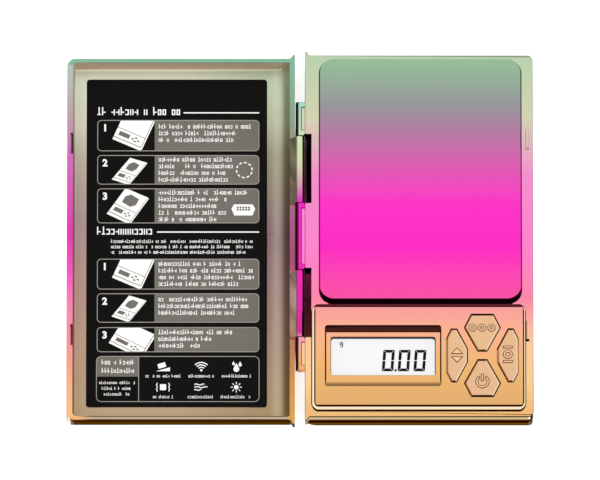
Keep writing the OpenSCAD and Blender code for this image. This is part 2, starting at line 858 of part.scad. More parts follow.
// The alignment lip inside the joint of the two shells, left out where the upper shell has bosses and pockets
module lip() {
    gap = 0.1;
    x0 = x_in + wall + gap;
    x1 = x_out - wall - gap;
    y0 = y_near + wall + gap;
    y1 = y_far - wall - gap;
    room = case_boss_r + 0.3;
    difference() {
        plate(split_z - 1.5, split_z + lip_h)
            difference() {
                translate([x0, y0])
                    square([x1 - x0, y1 - y0]);
                translate([x0 + lip_t, y0 + lip_t])
                    square([x1 - x0 - 2 * lip_t, y1 - y0 - 2 * lip_t]);
            }
        for (p = screw_xy)
            peg(p, room, split_z - 2, split_z + lip_h + over);
        for (s = [-1, 1])
            scale([1, s, 1])
                block([x_in, middle_end - pocket_wall - 0.3, split_z - 2],
                    [x0 + lip_t + over, lid_end + pocket_wall + 0.3, split_z + lip_h + over]);
        for (x = [x0 - over, x1 - over])
            block([x, y_near, split_z], [x + 2 * over, board_y1 + 1, split_z + lip_h + over]);
        block([x0 - over, y0 - over, split_z], [x1 + over, y0 + over, split_z + lip_h + over]);
    }
    difference() {
        plate(split_z - 1.5, split_z)
            difference() {
                translate([x0 - 0.2, y0 - 0.2])
                    square([x1 - x0 + 0.4, y1 - y0 + 0.4]);
                translate([x0 + lip_t, y0 + lip_t])
                    square([x1 - x0 - 2 * lip_t, y1 - y0 - 2 * lip_t]);
            }
        for (p = screw_xy)
            peg(p, room, split_z - 2, split_z + over);
    }
}

// The battery bay: side walls from the near wall, a far wall, a near wall above the door, and a roof
module bay() {
    block([bay_x0 - bay_wall, y_near + wall / 2, floor_z - 0.1],
        [bay_x1 + bay_wall, bay_y1 + bay_wall, bay_roof_z + bay_roof_t]);
}

module bay_hollow() {
    block([bay_x0, bay_y0, floor_z - over], [bay_x1, bay_y1, bay_roof_z]);
    block([bay_x0, y_near + wall, floor_z],
        [bay_x1, bay_y0 - bay_wall, bay_roof_z + bay_roof_t + over]);
}

// The door's opening through the floor, with a groove on each side for its tongues
module door_opening() {
    block([bay_x0 - door_gap, y_near - over, base_z - over],
        [bay_x1 + door_gap, bay_y1 + door_gap, floor_z + 0.01]);
    block([door_x0 - door_gap, y_near - over, door_step_z],
        [door_x1 + door_gap, bay_y1 + door_gap, floor_z]);
}

// The overload stops, which the carrier's corners reach at the end of their travel
module overload_stops() {
    for (x = [carrier_x0 + stop_inset, carrier_x1 - stop_inset])
        for (y = [carrier_y0 + stop_inset, carrier_y1 - stop_inset])
            peg([x, y], stop_r, floor_z - 0.1, carrier_z0 - platform_travel - 0.05);
}

// One lid knuckle with the arm that joins it to the rim
module lid_arm(y0, y1) {
    root_z = lid_rim_z - 1.5;
    side_x = -x_in - 0.05;
    bar_y(y0, y1)
        polygon([
            [side_x, root_z],
            [-arm_x, root_z],
            [-arm_x, lid_rim_z + 0.2],
            [-0.8 * knuckle_r, axis_z + 0.6 * knuckle_r],
            [0, axis_z],
            [-0.6 * knuckle_r, axis_z - 0.8 * knuckle_r],
            [side_x, lid_rim_z + 0.3]]);
    translate([0, y1, axis_z])
        rotate([90, 0, 0])
            cylinder(r = knuckle_r, h = y1 - y0);
}

module lid_form() {
    intersection() {
        plate(0, lid_rim_z)
            round_rect(-x_out, y_near, -x_in, y_far, [lid_corner_r, 0, 0, lid_corner_r]);
        bar_y(y_near - over, y_far + over)
            round_rect(-x_out, 0, -x_in, lid_rim_z, [lid_edge_r, lid_heel_r, 0, 0]);
        bar_x(-x_out - over, -x_in + over)
            round_rect(y_near, 0, y_far, lid_rim_z, [lid_edge_r, lid_edge_r, 0, 0]);
    }
}

// The tray inside the lid, with a wide sweep up to the hinge side
module lid_hollow() {
    x0 = -x_out + lid_free_rim;
    x1 = -arm_x;
    y0 = y_near + wall;
    y1 = y_far - wall;
    top = lid_rim_z + over;
    corner = max(lid_corner_r - wall, 0.2);
    intersection() {
        plate(lid_floor_t, top)
            round_rect(x0, y0, x1, y1, [corner, 0.3, 0.3, corner]);
        bar_y(y0 - over, y1 + over)
            round_rect(x0, lid_floor_t, x1, top, [lid_fillet_r, lid_sweep_r, 0, 0]);
        bar_x(x0 - over, x1 + over)
            round_rect(y0, lid_floor_t, y1, top, [lid_fillet_r, lid_fillet_r, 0, 0]);
    }
}

// The notches in the lid's free wall that the snap tabs enter, wider below the rim for the bead
module latch_notches() {
    x1 = -x_out + lid_free_rim + latch_gap + over;
    lip_x = x1 - over - latch_t - 2 * latch_gap + latch_bead;
    lip_t = 0.35;
    half = latch_l / 2 + latch_gap;
    depth = latch_h + latch_gap;
    for (s = [-1, 1]) {
        block([lip_x, s * latch_y - half, lid_rim_z - depth], [x1, s * latch_y + half, lid_rim_z + over]);
        block([lip_x - latch_bead - 0.05, s * latch_y - half, lid_rim_z - depth],
            [x1, s * latch_y + half, lid_rim_z - lip_t]);
    }
}

// Round marks left by the ejector pins of the mould
module ejector_marks() {
    x0 = -x_out + 8.5;
    x1 = -x_in - 12;
    middle_x = -x_in - 7.7;
    far_y = y_far - 6.3;
    near_y = y_near + 5.7;
    for (p = [[x0, far_y], [x1, far_y], [x0, near_y], [x1, near_y], [middle_x, 0.8]])
        peg(p, mark_r, lid_floor_t - mark_depth, lid_floor_t + over);
}

module lid_shell() {
    color("orchid")
        difference() {
            union() {
                difference() {
                    lid_form();
                    lid_hollow();
                }
                ears(-1, 3.5, lid_rim_z - 0.05);
                for (s = [-1, 1])
                    scale([1, s, 1])
                        lid_arm(middle_end + knuckle_gap / 2, lid_end - knuckle_gap / 2);
            }
            latch_notches();
            ejector_marks();
            translate([0, outer_end + over, axis_z])
                rotate([90, 0, 0])
                    cylinder(r = pin_r + pin_clearance, h = 2 * (outer_end + over));
        }
}

module hinge_pin() {
    color("silver")
        translate([0, outer_end - 0.2, axis_z])
            rotate([90, 0, 0])
                cylinder(r = pin_r, h = 2 * outer_end - 0.4);
}

module instruction_label() {
    color("black")
        plate(lid_floor_t, lid_floor_t + label_t)
            round_rect(-x_out + label_free_inset, y_near + label_near_inset,
                -x_in - label_hinge_inset, y_far - label_far_inset, [label_r, label_r, label_r, label_r]);
}

module platform() {
    color("magenta")
        union() {
            difference() {
                plate(skirt_z, platform_z)
                    round_rect(platform_x0, platform_y0, platform_x1, platform_y1,
                        [platform_r, platform_r, platform_r, platform_r]);
                plate(skirt_z - over, under_plate_z)
                    round_rect(platform_x0 + skirt_t, platform_y0 + skirt_t, platform_x1 - skirt_t,
                        platform_y1 - skirt_t, [for (i = [0:3]) platform_r - skirt_t]);
            }
            for (x = [carrier_x0 + post_inset, carrier_x1 - post_inset])
                for (y = [carrier_y0 + post_inset, carrier_y1 - post_inset])
                    peg([x, y], post_r, carrier_z1, under_plate_z + 0.1);
        }
}

module platform_carrier() {
    color("dimgray")
        difference() {
            union() {
                plate(carrier_z0, carrier_z1)
                    difference() {
                        translate([carrier_x0, carrier_y0])
                            square([carrier_x1 - carrier_x0, carrier_y1 - carrier_y0]);
                        carrier_windows();
                    }
                block([cell_x - cell_w / 2, cell_y1 - cell_end_l, cell_z1],
                    [cell_x + cell_w / 2, cell_y1, carrier_z0 + 0.1]);
            }
            for (y = free_screws)
                peg([cell_x, y], cell_screw_r + screw_clearance, cell_z1 - over, carrier_z1 + over);
        }
}

// Two weight-saving windows in the carrier, beside the beam
module carrier_windows() {
    rim = 13;
    w = 10;
    middle = (carrier_x1 - carrier_x0) / 4 + 2;
    for (s = [-1, 1])
        translate([cell_x + s * middle - w / 2, carrier_y0 + rim])
            square([w, carrier_y1 - carrier_y0 - 2 * rim]);
}

module platform_screws() {
    color("silver")
        for (y = free_screws)
            union() {
                peg([cell_x, y], cell_head_r, carrier_z1, carrier_z1 + cell_head_h);
                peg([cell_x, y], cell_screw_r, cell_z1 - cell_thread_l, carrier_z1 + 0.1);
            }
}

module load_cell() {
    middle_z = (cell_z0 + cell_z1) / 2;
    slot_half = 0.5;
    color("lightgray")
        difference() {
            block([cell_x - cell_w / 2, cell_y0, cell_z0], [cell_x + cell_w / 2, cell_y1, cell_z1]);
            for (s = [-1, 1])
                translate([cell_x - cell_w, cell_middle + s * cell_bore_pitch / 2, middle_z])
                    rotate([0, 90, 0])
                        cylinder(r = cell_bore_r, h = 2 * cell_w);
            block([cell_x - cell_w, cell_middle - cell_bore_pitch / 2, middle_z - slot_half],
                [cell_x + cell_w, cell_middle + cell_bore_pitch / 2, middle_z + slot_half]);
            for (y = concat(fixed_screws, free_screws))
                peg([cell_x, y], cell_screw_r + 0.05, cell_z0 - over, cell_z1 + over);
        }
}

module load_cell_screws() {
    color("silver")
        for (y = fixed_screws)
            union() {
                peg([cell_x, y], cell_head_r, base_z + 0.1, base_z + 0.1 + cell_head_h);
                peg([cell_x, y], cell_screw_r, base_z + cell_head_h, cell_z0 + cell_thread_l);
            }
}

module strain_gauges() {
    half_w = cell_w / 2 - 1;
    color("orange")
        block([cell_x - half_w, cell_middle - gauge_half_l, cell_z1],
            [cell_x + half_w, cell_middle + gauge_half_l, cell_z1 + film_t]);
}

// The flat lead from the gauges along the beam, down its end and on to the board
module gauge_ribbon() {
    half = 2.5;
    drop_y = cell_y0 - 0.3;
    top_z = cell_z1 + film_t;
    gauge_y0 = cell_middle - gauge_half_l;
    color("peru")
        union() {
            block([cell_x - half, drop_y - film_t, cell_z1], [cell_x + half, gauge_y0, top_z]);
            block([cell_x - half, drop_y - film_t, board_z], [cell_x + half, drop_y, top_z]);
            block([cell_x - half, board_y1 - 3, board_z], [cell_x + half, drop_y, board_z + film_t]);
        }
}

module circuit_board() {
    color("darkgreen")
        difference() {
            block([board_x0, board_y0, board_bottom], [board_x1, board_y1, board_z]);
            board_corners();
            for (p = board_screw_xy)
                peg(p, board_screw_r + screw_clearance, board_bottom - over, board_z + over);
        }
}

// The board's near corners, cut away round the case screws' bosses
module board_corners() {
    room = case_boss_r + 0.3;
    left = x_in + screw_left + room;
    right = x_out - screw_right - room;
    y1 = y_near + screw_inset + room;
    block([board_x0 - over, board_y0 - over, board_bottom - over], [left, y1, board_z + over]);
    block([right, board_y0 - over, board_bottom - over], [board_x1 + over, y1, board_z + over]);
}

module controller_chip() {
    y0 = coin_y - 3;
    color("black")
        block([chip_x0, y0, board_bottom - chip_h], [chip_x0 + chip_w, y0 + chip_l, board_bottom]);
}

module crystal() {
    y0 = coin_y - 3 + chip_l + chip_row_gap;
    color("silver")
        block([chip_x0, y0, board_bottom - chip_h + 0.1],
            [chip_x0 + chip_w - 0.8, y0 + crystal_l, board_bottom]);
}

module board_capacitors() {
    y0 = coin_y - 3 - chip_row_gap - 2 * capacitor_w;
    color("tan")
        for (i = [0:3]) {
            x = chip_x0 + capacitor_pitch * i;
            block([x, y0, board_bottom - capacitor_w],
                [x + capacitor_w, y0 + 2 * capacitor_w, board_bottom]);
        }
}

module board_screws() {
    color("silver")
        for (p = board_screw_xy)
            union() {
                peg(p, board_head_r, board_z, board_z + board_head_h);
                peg(p, board_screw_r, board_z - board_screw_len, board_z + 0.1);
            }
}

module display_window() {
    color("aliceblue", 0.6)
        block([window_x0 - lens_margin, window_y0 - lens_margin, lens_z0],
            [window_x1 + lens_margin, window_y1 + lens_margin, lens_z1]);
}

// The display's glass: an upper sheet, and a longer lower sheet with the contact edge
module lcd_glass() {
    x0 = window_x0 - glass_margin;
    x1 = window_x1 + glass_margin;
    middle = (glass_z0 + glass_z1) / 2;
    color("whitesmoke")
        union() {
            block([x0, window_y0 - glass_margin, middle - 0.01], [x1, window_y1 + glass_margin, glass_z1]);
            block([x0, window_y0 - glass_margin - contact_edge, glass_z0],
                [x1, window_y1 + glass_margin, middle]);
        }
}

module lcd_holder() {
    gap = 0.1;
    x0 = window_x0 - glass_margin - gap;
    x1 = window_x1 + glass_margin + gap;
    y0 = window_y0 - glass_margin - contact_edge - gap;
    y1 = window_y1 + glass_margin + gap;
    color("white")
        difference() {
            block([x0 - holder_t, y0 - holder_t, board_z], [x1 + holder_t, y1 + holder_t, lens_z0]);
            block([x0, y0, board_z - over], [x1, y1, lens_z0 + over]);
        }
}

module zebra_strips() {
    near_y = window_y0 - glass_margin - contact_edge + 0.1;
    far_y = window_y1 + glass_margin - strip_w - 0.1;
    half = (window_x1 - window_x0) / 2 + glass_margin - 1;
    middle = (window_x0 + window_x1) / 2;
    color("hotpink")
        for (y = [near_y, far_y])
            block([middle - half, y, board_z], [middle + half, y + strip_w, glass_z0]);
}

module light_guide() {
    color("white", 0.8)
        block([window_x0 - 0.4, window_y0 - 0.6, board_z + 0.05],
            [window_x1, window_y1, glass_z0 - guide_gap]);
}

module backlight_led() {
    y = (window_y0 + window_y1) / 2;
    color("lightyellow")
        block([window_x0 - 1.5, y - 1.2, board_z], [window_x0 - 0.5, y + 1.2, board_z + 0.8]);
}

// One key: a bevelled cap, the flange under the panel and a stem down to the switch
module key_cap(i) {
    middle = key_middle(i);
    bevel_z = key_z - key_bevel;
    union() {
        key_plate(i, 0, flange_z1 - 0.01, bevel_z);
        key_taper(i, 0, -key_bevel, bevel_z - 0.02, key_z);
        key_plate(i, key_flange, flange_z0, flange_z1);
        at_key(i)
            peg(middle, stem_r, stem_z, flange_z0 + 0.1);
    }
}

module count_key() {
    color("salmon")
        key_cap(0);
}

module power_key() {
    color("gold")
        key_cap(1);
}

module tare_key() {
    color("sandybrown")
        key_cap(2);
}

module mode_key() {
    color("burlywood")
        key_cap(3);
}

// The moving pin of a switch, under the stem of its key
module switch_plunger(i) {
    color("black")
        at_key(i)
            peg(key_middle(i), plunger_r, switch_z1 - plunger_depth, stem_z);
}

module count_plunger() {
    switch_plunger(0);
}

module power_plunger() {
    switch_plunger(1);
}

module tare_plunger() {
    switch_plunger(2);
}

module mode_plunger() {
    switch_plunger(3);
}

module key_switches() {
    half = switch_w / 2;
    color("silver")
        for (i = [0:3])
            at_key(i) {
                m = key_middle(i);
                difference() {
                    block([m[0] - half, m[1] - half, board_z], [m[0] + half, m[1] + half, switch_z1]);
                    peg(m, plunger_r + plunger_clearance, switch_z1 - plunger_depth - key_travel - 0.1,
                        switch_z1 + over);
                }
            }
}

module coin_cells() {
    color("silver")
        for (x = coin_x)
            peg([x, coin_y], coin_r, coin_z0, coin_z1);
}

// For each cell a leaf on the bay's roof and a side clip on its far wall
module cell_contacts() {
    color("gold")
        for (x = coin_x) {
            y = coin_y + coin_r + 0.05;
            block([x - 5, coin_y - 2, coin_z1], [x + 5, coin_y + 2, coin_z1 + contact_t]);
            block([x - 3, y, coin_z0], [x + 3, y + contact_t, coin_z1]);
        }
}

// The door follows the rounded lower edge of the case at its near end
module battery_door() {
    far_y = bay_y1 - 0.05;
    grip_x = (bay_x0 + bay_x1 - grip_w) / 2;
    grip_pitch = 1.6;
    grip_z = base_z + 0.3;
    color("khaki")
        difference() {
            intersection() {
                body_form();
                union() {
                    block([bay_x0, y_near - over, base_z - over], [bay_x1, far_y, door_top_z]);
                    block([door_x0, y_near - over, door_step_z + 0.05], [door_x1, far_y, door_top_z]);
                }
            }
            for (i = [0:3]) {
                y = y_near + 5 + grip_pitch * i;
                block([grip_x, y, base_z - over], [grip_x + grip_w, y + grip_pitch / 2, grip_z]);
            }
        }
}

module rubber_feet() {
    color("dimgray")
        for (p = foot_xy)
            peg(p, foot_r, 0, base_z + foot_seat);
}

module case_screws() {
    color("silver")
        for (p = screw_xy)
            union() {
                peg(p, case_head_r, base_z + 0.1, base_z + 0.1 + case_head_h);
                peg(p, case_screw_r, base_z + case_head_h, screw_hole_z - 0.2);
            }
}

top_frame();
bottom_shell();
lid_shell();
hinge_pin();
instruction_label();
platform();
platform_carrier();
platform_screws();
load_cell();
load_cell_screws();
strain_gauges();
gauge_ribbon();
circuit_board();
controller_chip();
crystal();
board_capacitors();
board_screws();
display_window();
lcd_glass();
lcd_holder();
zebra_strips();
light_guide();
backlight_led();
count_key();
mode_key();
tare_key();
power_key();
count_plunger();
mode_plunger();
tare_plunger();
power_plunger();
key_switches();
coin_cells();
cell_contacts();
battery_door();
rubber_feet();
case_screws();
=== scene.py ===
"""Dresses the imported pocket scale: plated shells, display, keys, label, and what shows inside and below."""

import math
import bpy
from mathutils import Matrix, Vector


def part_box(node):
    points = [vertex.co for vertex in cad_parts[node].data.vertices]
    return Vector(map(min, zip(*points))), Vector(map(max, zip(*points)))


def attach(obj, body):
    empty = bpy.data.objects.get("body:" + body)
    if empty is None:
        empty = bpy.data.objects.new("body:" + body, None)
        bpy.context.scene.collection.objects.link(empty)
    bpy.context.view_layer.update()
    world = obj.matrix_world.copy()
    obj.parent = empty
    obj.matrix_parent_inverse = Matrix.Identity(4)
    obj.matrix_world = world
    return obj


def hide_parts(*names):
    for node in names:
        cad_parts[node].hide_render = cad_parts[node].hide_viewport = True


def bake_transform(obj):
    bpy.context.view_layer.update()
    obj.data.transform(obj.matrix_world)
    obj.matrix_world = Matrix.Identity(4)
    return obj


bl_info = {
    "name": "Pocket Scale Dressing",
    "version": (1, 0, 0),
    "blender": (4, 5, 0),
    "location": "View3D > Sidebar > Scale",
    "description": "Plated shells, display, keys, label and fittings for a folding pocket scale",
    "category": "Object",
}

import bmesh
import bpy
from bpy.props import FloatProperty, FloatVectorProperty, PointerProperty
from mathutils import Matrix, Vector

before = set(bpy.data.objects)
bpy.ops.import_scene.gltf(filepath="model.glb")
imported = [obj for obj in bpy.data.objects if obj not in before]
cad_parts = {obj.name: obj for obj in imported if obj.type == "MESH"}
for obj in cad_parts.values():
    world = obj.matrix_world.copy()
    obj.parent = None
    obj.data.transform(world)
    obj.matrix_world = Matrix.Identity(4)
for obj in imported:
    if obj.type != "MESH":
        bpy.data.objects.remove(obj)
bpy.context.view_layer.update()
MM = 0.001


def linear(code):
    """An sRGB hex colour as linear red, green, blue and alpha."""
    values = [int(code[i:i + 2], 16) / 255 for i in (1, 3, 5)]
    return tuple(v / 12.92 if v <= 0.04045 else ((v + 0.055) / 1.055) ** 2.4 for v in values) + (1.0,)


def add(tree, kind, inputs=(), **settings):
    """One node with its settings; an input takes a value, a socket, or a node for its first output."""
    made = tree.nodes.new(kind)
    for key, value in settings.items():
        setattr(made, key, value)
    for key, value in dict(inputs).items():
        if isinstance(value, bpy.types.Node):
            value = value.outputs[0]
        if isinstance(value, bpy.types.NodeSocket):
            tree.links.new(value, made.inputs[key])
        else:
            made.inputs[key].default_value = value
    return made


def fill_ramp(ramp, stops):
    """Sets a colour ramp's stops from pairs of place and hex colour, lowest place first."""
    points = ramp.color_ramp.elements
    while len(points) < len(stops):
        points.new(0.5)
    for point, (place, code) in zip(points, stops):
        point.position = place
        point.color = linear(code)


def tint_along(tree, value, low, high, stops):
    """Colours spread over a stretch: its two ends and each stop's place are in millimetres."""
    share = add(tree, "ShaderNodeMapRange", {"Value": value, "From Min": low * MM, "From Max": high * MM})
    ramp = add(tree, "ShaderNodeValToRGB", {"Fac": share})
    fill_ramp(ramp, [((place - low) / (high - low), code) for place, code in sorted(stops)])
    return ramp.outputs[0]


def start_material(name):
    material = bpy.data.materials.new(name)
    material.use_nodes = True
    material.node_tree.nodes.clear()
    return material, material.node_tree


def end_material(material, shader):
    add(material.node_tree, "ShaderNodeOutputMaterial", {"Surface": shader})
    return material


def new_object(name, data):
    """An object at the origin, in the scene."""
    made = bpy.data.objects.new(name, data)
    bpy.context.scene.collection.objects.link(made)
    return made


# Colours of the plating along the hinge: place in millimetres from the middle, colour
SURROUND = [(58, "#BCD2AF"), (39, "#D4D3B2"), (29, "#E3B4C2"), (20, "#F58FCE"), (-6, "#FE85CC"),
            (-21, "#FE88AA"), (-34, "#FFC99B"), (-48, "#FFCF96"), (-58, "#F2BD7C")]
PANEL = [(-24, "#F8A0A0"), (-33, "#FCB48E"), (-44, "#F2B874"), (-56, "#E4B070")]
PLATFORM = [(58, "#96BF9A"), (42, "#98959B"), (33, "#B879A5"), (22, "#DE5CB3"), (10, "#FE36C8"),
            (-4, "#FE2DC4"), (-20, "#FA52A6")]
LID_RIM = [(58, "#B7C6C1"), (48, "#BAB4AE"), (39, "#C19EAD"), (28, "#D570BC"), (2, "#E33FAA"),
           (-12, "#F85BBF"), (-22, "#FA86B5"), (-37, "#F99B92"), (-57, "#FAC289")]
LID_TRAY = [(54, "#E4E8D0"), (40, "#DEDAC6"), (30, "#C6BCA8"), (8, "#B49C98"), (-16, "#C09E90"),
            (-52, "#C0A888")]
# Painted shade: the tray's tints, darker towards its hinge side
LID_TRAY_PAINTED_SHADE = [(54, "#C6D4B8"), (40, "#B8BCA0"), (30, "#9A967A"), (4, "#8C7074"), (-24, "#A08278"),
                  (-54, "#B09672")]
# A painted highlight for the light that the sweep between the lid's floor and its hinge side gathers
SWEEP_PAINTED_HIGHLIGHT = (-7.4, 2.6, "#70705E")
HINGE_SIDE = [(58, "#87B8A0"), (40, "#8CA488"), (30, "#9B8F86"), (6, "#A85F80"), (-8, "#A94F70"),
              (-16, "#BA7A7E"), (-36, "#BD8160"), (-46, "#D0924D"), (-58, "#DCA554")]
# Painted reflection: dark and bright bands across the rolled near lip, and the plain rim tint towards its
# corners
NEAR_RIM_PAINTED_BANDS = [(-58.3, "#B09070"), (-58.8, "#A08A72"), (-59.1, "#3A2410"), (-59.4, "#FFE4C4"),
            (-59.8, "#6B4E33"), (-60.1, "#220A00")]
NEAR_CORNER = [(-58.3, "#FAC289"), (-60.1, "#F2B070")]
# Painted shade in the groove behind the control panel
GROOVE_PAINTED_SHADE = [(-20, "#8A3A50"), (-25, "#7A3442")]
ARMS = [(34, "#B4B898"), (20, "#AFA689"), (12, "#A8987C"), (-12, "#F0C8C0"), (-20, "#FFDCD4"),
        (-34, "#FFD0A8")]
KNUCKLES = [(45, "#A5D8CC"), (36, "#B4DCC0"), (33, "#D5E6B6"), (24, "#D2DCAE"), (12.5, "#D64CB8"),
            (10.5, "#F52BCB"), (-9, "#F02FBC"), (-32, "#D8339F"), (-34, "#F7A5B5"), (-42, "#EFAF72")]
KEYS = [(-26, "#EDBB92"), (-34, "#E9BE90"), (-42, "#E8BC90"), (-54, "#E9BA94")]
# Painted shade round the key marks and on the keys' left edges, and a painted highlight on the marks' crowns
KEY_MARK_PAINTED_SHADE = [(-26, "#94643E"), (-54, "#8C5C38")]
KEY_EDGE_PAINTED_SHADE = [(-26, "#C07A50"), (-54, "#B87844")]
KEY_MARK_PAINTED_HIGHLIGHT = [(-26, "#F6CFAE"), (-54, "#F6CFAA")]
# Painted light on the ledge and on the keys' right edges: a bright painted highlight, dark painted shade at
# the ledge's far side
LEDGE_PAINTED_LIGHT = [(-23.9, "#5A1A20"), (-24.6, "#FFCDBC"), (-34, "#FFE2C4"), (-46, "#FFECC8"), (-58, "#FFEBC6")]
# Painted shade: darker tints on steep walls, edges, pockets and recesses, where shade falls
STEEP_PAINTED_SHADE = [(58, "#2C3B30"), (38, "#34302E"), (20, "#4A2238"), (-12, "#5A1636"), (-21, "#3A0A20"),
          (-40, "#4A2A16"), (-58, "#3A2410")]
# Painted reflection bands by height on the body's and the lid's outer walls, dark and light
WALL_PAINTED_BANDS = [(0.4, "#505050"), (1.7, "#343434"), (2.9, "#757575"), (5.1, "#2A2A2A"), (7.2, "#272727"),
             (9.2, "#E0E0E0"), (10.4, "#E8E8E8"), (11.3, "#484848")]
LID_WALL_PAINTED_BANDS = [(0.4, "#505050"), (2.3, "#343434"), (3.5, "#5A5A5A"), (5.7, "#414141"), (6.9, "#242424"),
                 (7.7, "#606060")]
WALL_PAINTED_BANDS_TOP = 15
# Stretches along the hinge that the colours are spread over
WHOLE_LENGTH = (-61.3, 61.3)
PANEL_LENGTH = (-60, -22)
NEAR_LIP = (-60.2, -58.2)
# What plating reflects at a flat angle, on steep walls and on the outer walls: grey, which dims it as painted
# shade
STEEP_GRAZING_SHADE = "#6A6460"
OUTER_GRAZING_SHADE = "#A09A94"
# The soft edges of the unlit paper under the hinge, measured from the middle
HINGE_SHADE = {"X": (2.0, 8.0), "Y": (34.0, 41.0)}
# The floor lies just under the feet, and its paper glows where it is seen
FLOOR_DROP = 0.02
PAPER_GLOW = 0.75
# The room is brighter towards the far side and the left, and well above the walls on every side
ROOM_LEAN = {"Y": 0.5, "X": -0.3}
OVERHEAD = (4.0, -0.45)
ROOM_TONES = [(0.0, "#1C1C1C"), (0.3, "#242424"), (0.5, "#909090"), (0.62, "#B0B0B0"), (0.8, "#FFFFFF")]
SOFTBOXES = {"softbox far left": (-1.5, 1.5, 1.3), "softbox near right": (1.5, -1.5, 1.3)}
SOFTBOX_SIZE = 2.4
SOFTBOX_POWER = 20.0
CAMERA_TARGET = (0.04, -0.15, 7)
CAMERA_REACH = 60
SENSOR_WIDTH = 36
# The top of the surround; the control panel and the knuckles rise above it
SURROUND_TOP = 12.0
# Edges sharper than this are rounded, and shading breaks at edges sharper than these
ROUND_FROM = math.radians(28)
SHARP_FROM = math.radians(32)
SCREW_SHARP_FROM = math.radians(35)
# Faces that differ by less are one face, and points of a CAD mesh that are closer, in metres, are one point
FLAT_WITHIN = math.radians(0.4)
WELD = 1e-6
NORMAL_WEIGHT = 80
# How far the polish varies to each side of a plating's roughness
POLISH_SPREAD = 0.15
# The plain font's size and added boldness, as shares of a figure's height
FONT_SIZE = 1.45
FONT_BOLD = 0.06
# Screws: head radius, head height, shank radius
SCREW_SIZES = {"case_screws": (1.7, 1.1, 0.9), "load_cell_screws": (2.7, 1.1, 1.5)}
SLOT_DEPTH = 0.6
# Slices across the bending part of the load cell
BEAM_CUTS = 7
# How far the painted shade round a key mark reaches past the mark, and how deep both sit in the key
MARK_SHADE_REACH = 0.2
MARK_SINK = 0.02
# The display window's opening and its clear part: left, near, right, far. The black border between them is
# wider on the right and far sides, as painted shade
WINDOW_OUTER = (9.7, -46.65, 43.4, -33.65)
WINDOW_CLEAR = (9.95, -46.42, 43.05, -33.98)
DIGITS_LEFT = 26.1
DIGITS_BASE = -44.7
UNIT_PLACE = (13.2, -35.6)
# The label's inks: name, colour, grain in millimetres, how much the grain shades
INKS = (("white", "#F2F1EE", 0.15, 0.05), ("warm grey halftone", "#6C6760", 0.3, 0.14),
        ("warm grey line", "#98938B", 0.15, 0.05))
# Finishes of the inner parts by slot: material, colour, roughness, grain in millimetres, how much of it is
# metal, depth of the grain, how much the grain shades. Drawn, pressed and plated metals gleam, moulded
# plastics and fired ceramic look soft, rubber looks matt, and the solder mask shows the weave below it.
FINISHES = {
    "steel": ("nickel-plated steel, drawn wire", "#C4C4C6", 0.25, 0.2, 1.0, 0.002),
    "board_green": ("solder mask over woven glass board", "#1C5A2C", 0.35, 0.5),
    "black_plastic": ("moulded ABS, black", "#161616", 0.5, 0.2, 0.0, 0.004),
    "white_plastic": ("moulded acrylic, frosted white", "#E6E6E2", 0.4, 0.4, 0.0, 0.003, 0.03),
    "capacitor_ceramic": ("fired ceramic", "#A98A62", 0.5, 0.1, 0.0, 0.003),
    "nickel_can": ("pressed nickel-plated steel can", "#BEBDB8", 0.22, 0.4, 1.0, 0.002),
    "contact_rubber": ("layered conductive silicone rubber", "#D79AA2", 0.6, 0.1, 0.0, 0.003),
    "contact_brass": ("gold-plated spring brass", "#D9B45C", 0.25, 0.2, 1.0, 0.002),
    "foot_rubber": ("moulded silicone rubber, matt black", "#1B1B1C", 0.75, 0.15),
}
# The label's layout
FRAME_LEFT = -64.9
FRAME_RIGHT = -13.0
CELL_RIGHT = -46.5
TEXT_LEFT = -45.2
TEXT_PITCH = 2.22
# Each step: top, bottom, number, drawing, line ends, height of the first line. A drawing is its corner, its
# two sides, and whether it is loaded.
STEP_PANELS = (
    (41.4, 31.0, "1", ((-59.6, 36.1), (8.7, -3.8), (3.9, 8.7), False), (-15.8, -19.0, -21.5), 39.1),
    (29.7, 19.9, "2", ((-59.6, 22.4), (5.2, -1.8), (5.2, 6.4), True), (-22.0, -21.6, -24.0, -22.4), 28.1),
    (18.6, 7.0, "3", ((-61.2, 11.1), (7.0, -3.4), (5.4, 7.6), True), (-17.0, -23.6, -26.9, -23.8, -26.9),
     17.1),
    (-4.8, -15.0, "1", ((-59.6, -10.0), (8.7, -3.8), (3.9, 8.7), False), (-19.1, -15.2, -14.9, -19.9),
     -6.6),
    (-16.3, -26.0, "2", ((-59.6, -23.2), (5.2, -1.8), (5.0, 6.2), True), (-17.1, -15.8, -21.0), -18.4),
    (-27.5, -35.8, "3", ((-60.6, -31.9), (9.8, -5.0), (4.2, 6.8), False), (-21.8, -27.6, -32.1), -29.3),
)
NOTE_FRAME = (-65.1, -52.3, -12.9, -37.1)
NOTE_DIVIDER = -51.5
NOTE_HEADER_BOTTOM = -43.9
HEADING_LINES = ((-37.3, -13.0, 43.8), (-45.7, -13.0, 4.1))
DIAL_PLACE = (-17.8, 24.7)
TRAY_PLACE = (-18.1, 11.2)
SIGN_COLUMNS = (-43.7, -31.5, -20.3)
SIGN_ROWS = (-40.6, -47.4)
# Letter-like shapes that are no letters, each from bars: left, bottom, width, height in letter heights
LETTER_SHAPES = (
    ((0, 0, 0.2, 1), (0.2, 0, 0.4, 0.2), (0.2, 0.8, 0.4, 0.2)),
    ((0.4, 0, 0.2, 1), (0, 0, 0.4, 0.2), (0, 0.8, 0.4, 0.2)),
    ((0.2, 0, 0.2, 1.4), (0, 0, 0.2, 0.2), (0.4, 0, 0.2, 0.2)),
    ((0, 0, 0.2, 1.4), (0.2, 0.4, 0.4, 0.2)),
    ((0, 0, 0.2, 1), (0.4, 0, 0.2, 1)),
    ((0.4, 0, 0.2, 1), (0, 0.4, 0.4, 0.2)),
    ((0, 0, 0.2, 1), (0.4, 0, 0.2, 1), (0.2, 0, 0.2, 0.2), (0.2, 0.8, 0.2, 0.2)),
)
LETTER_SEED = 7
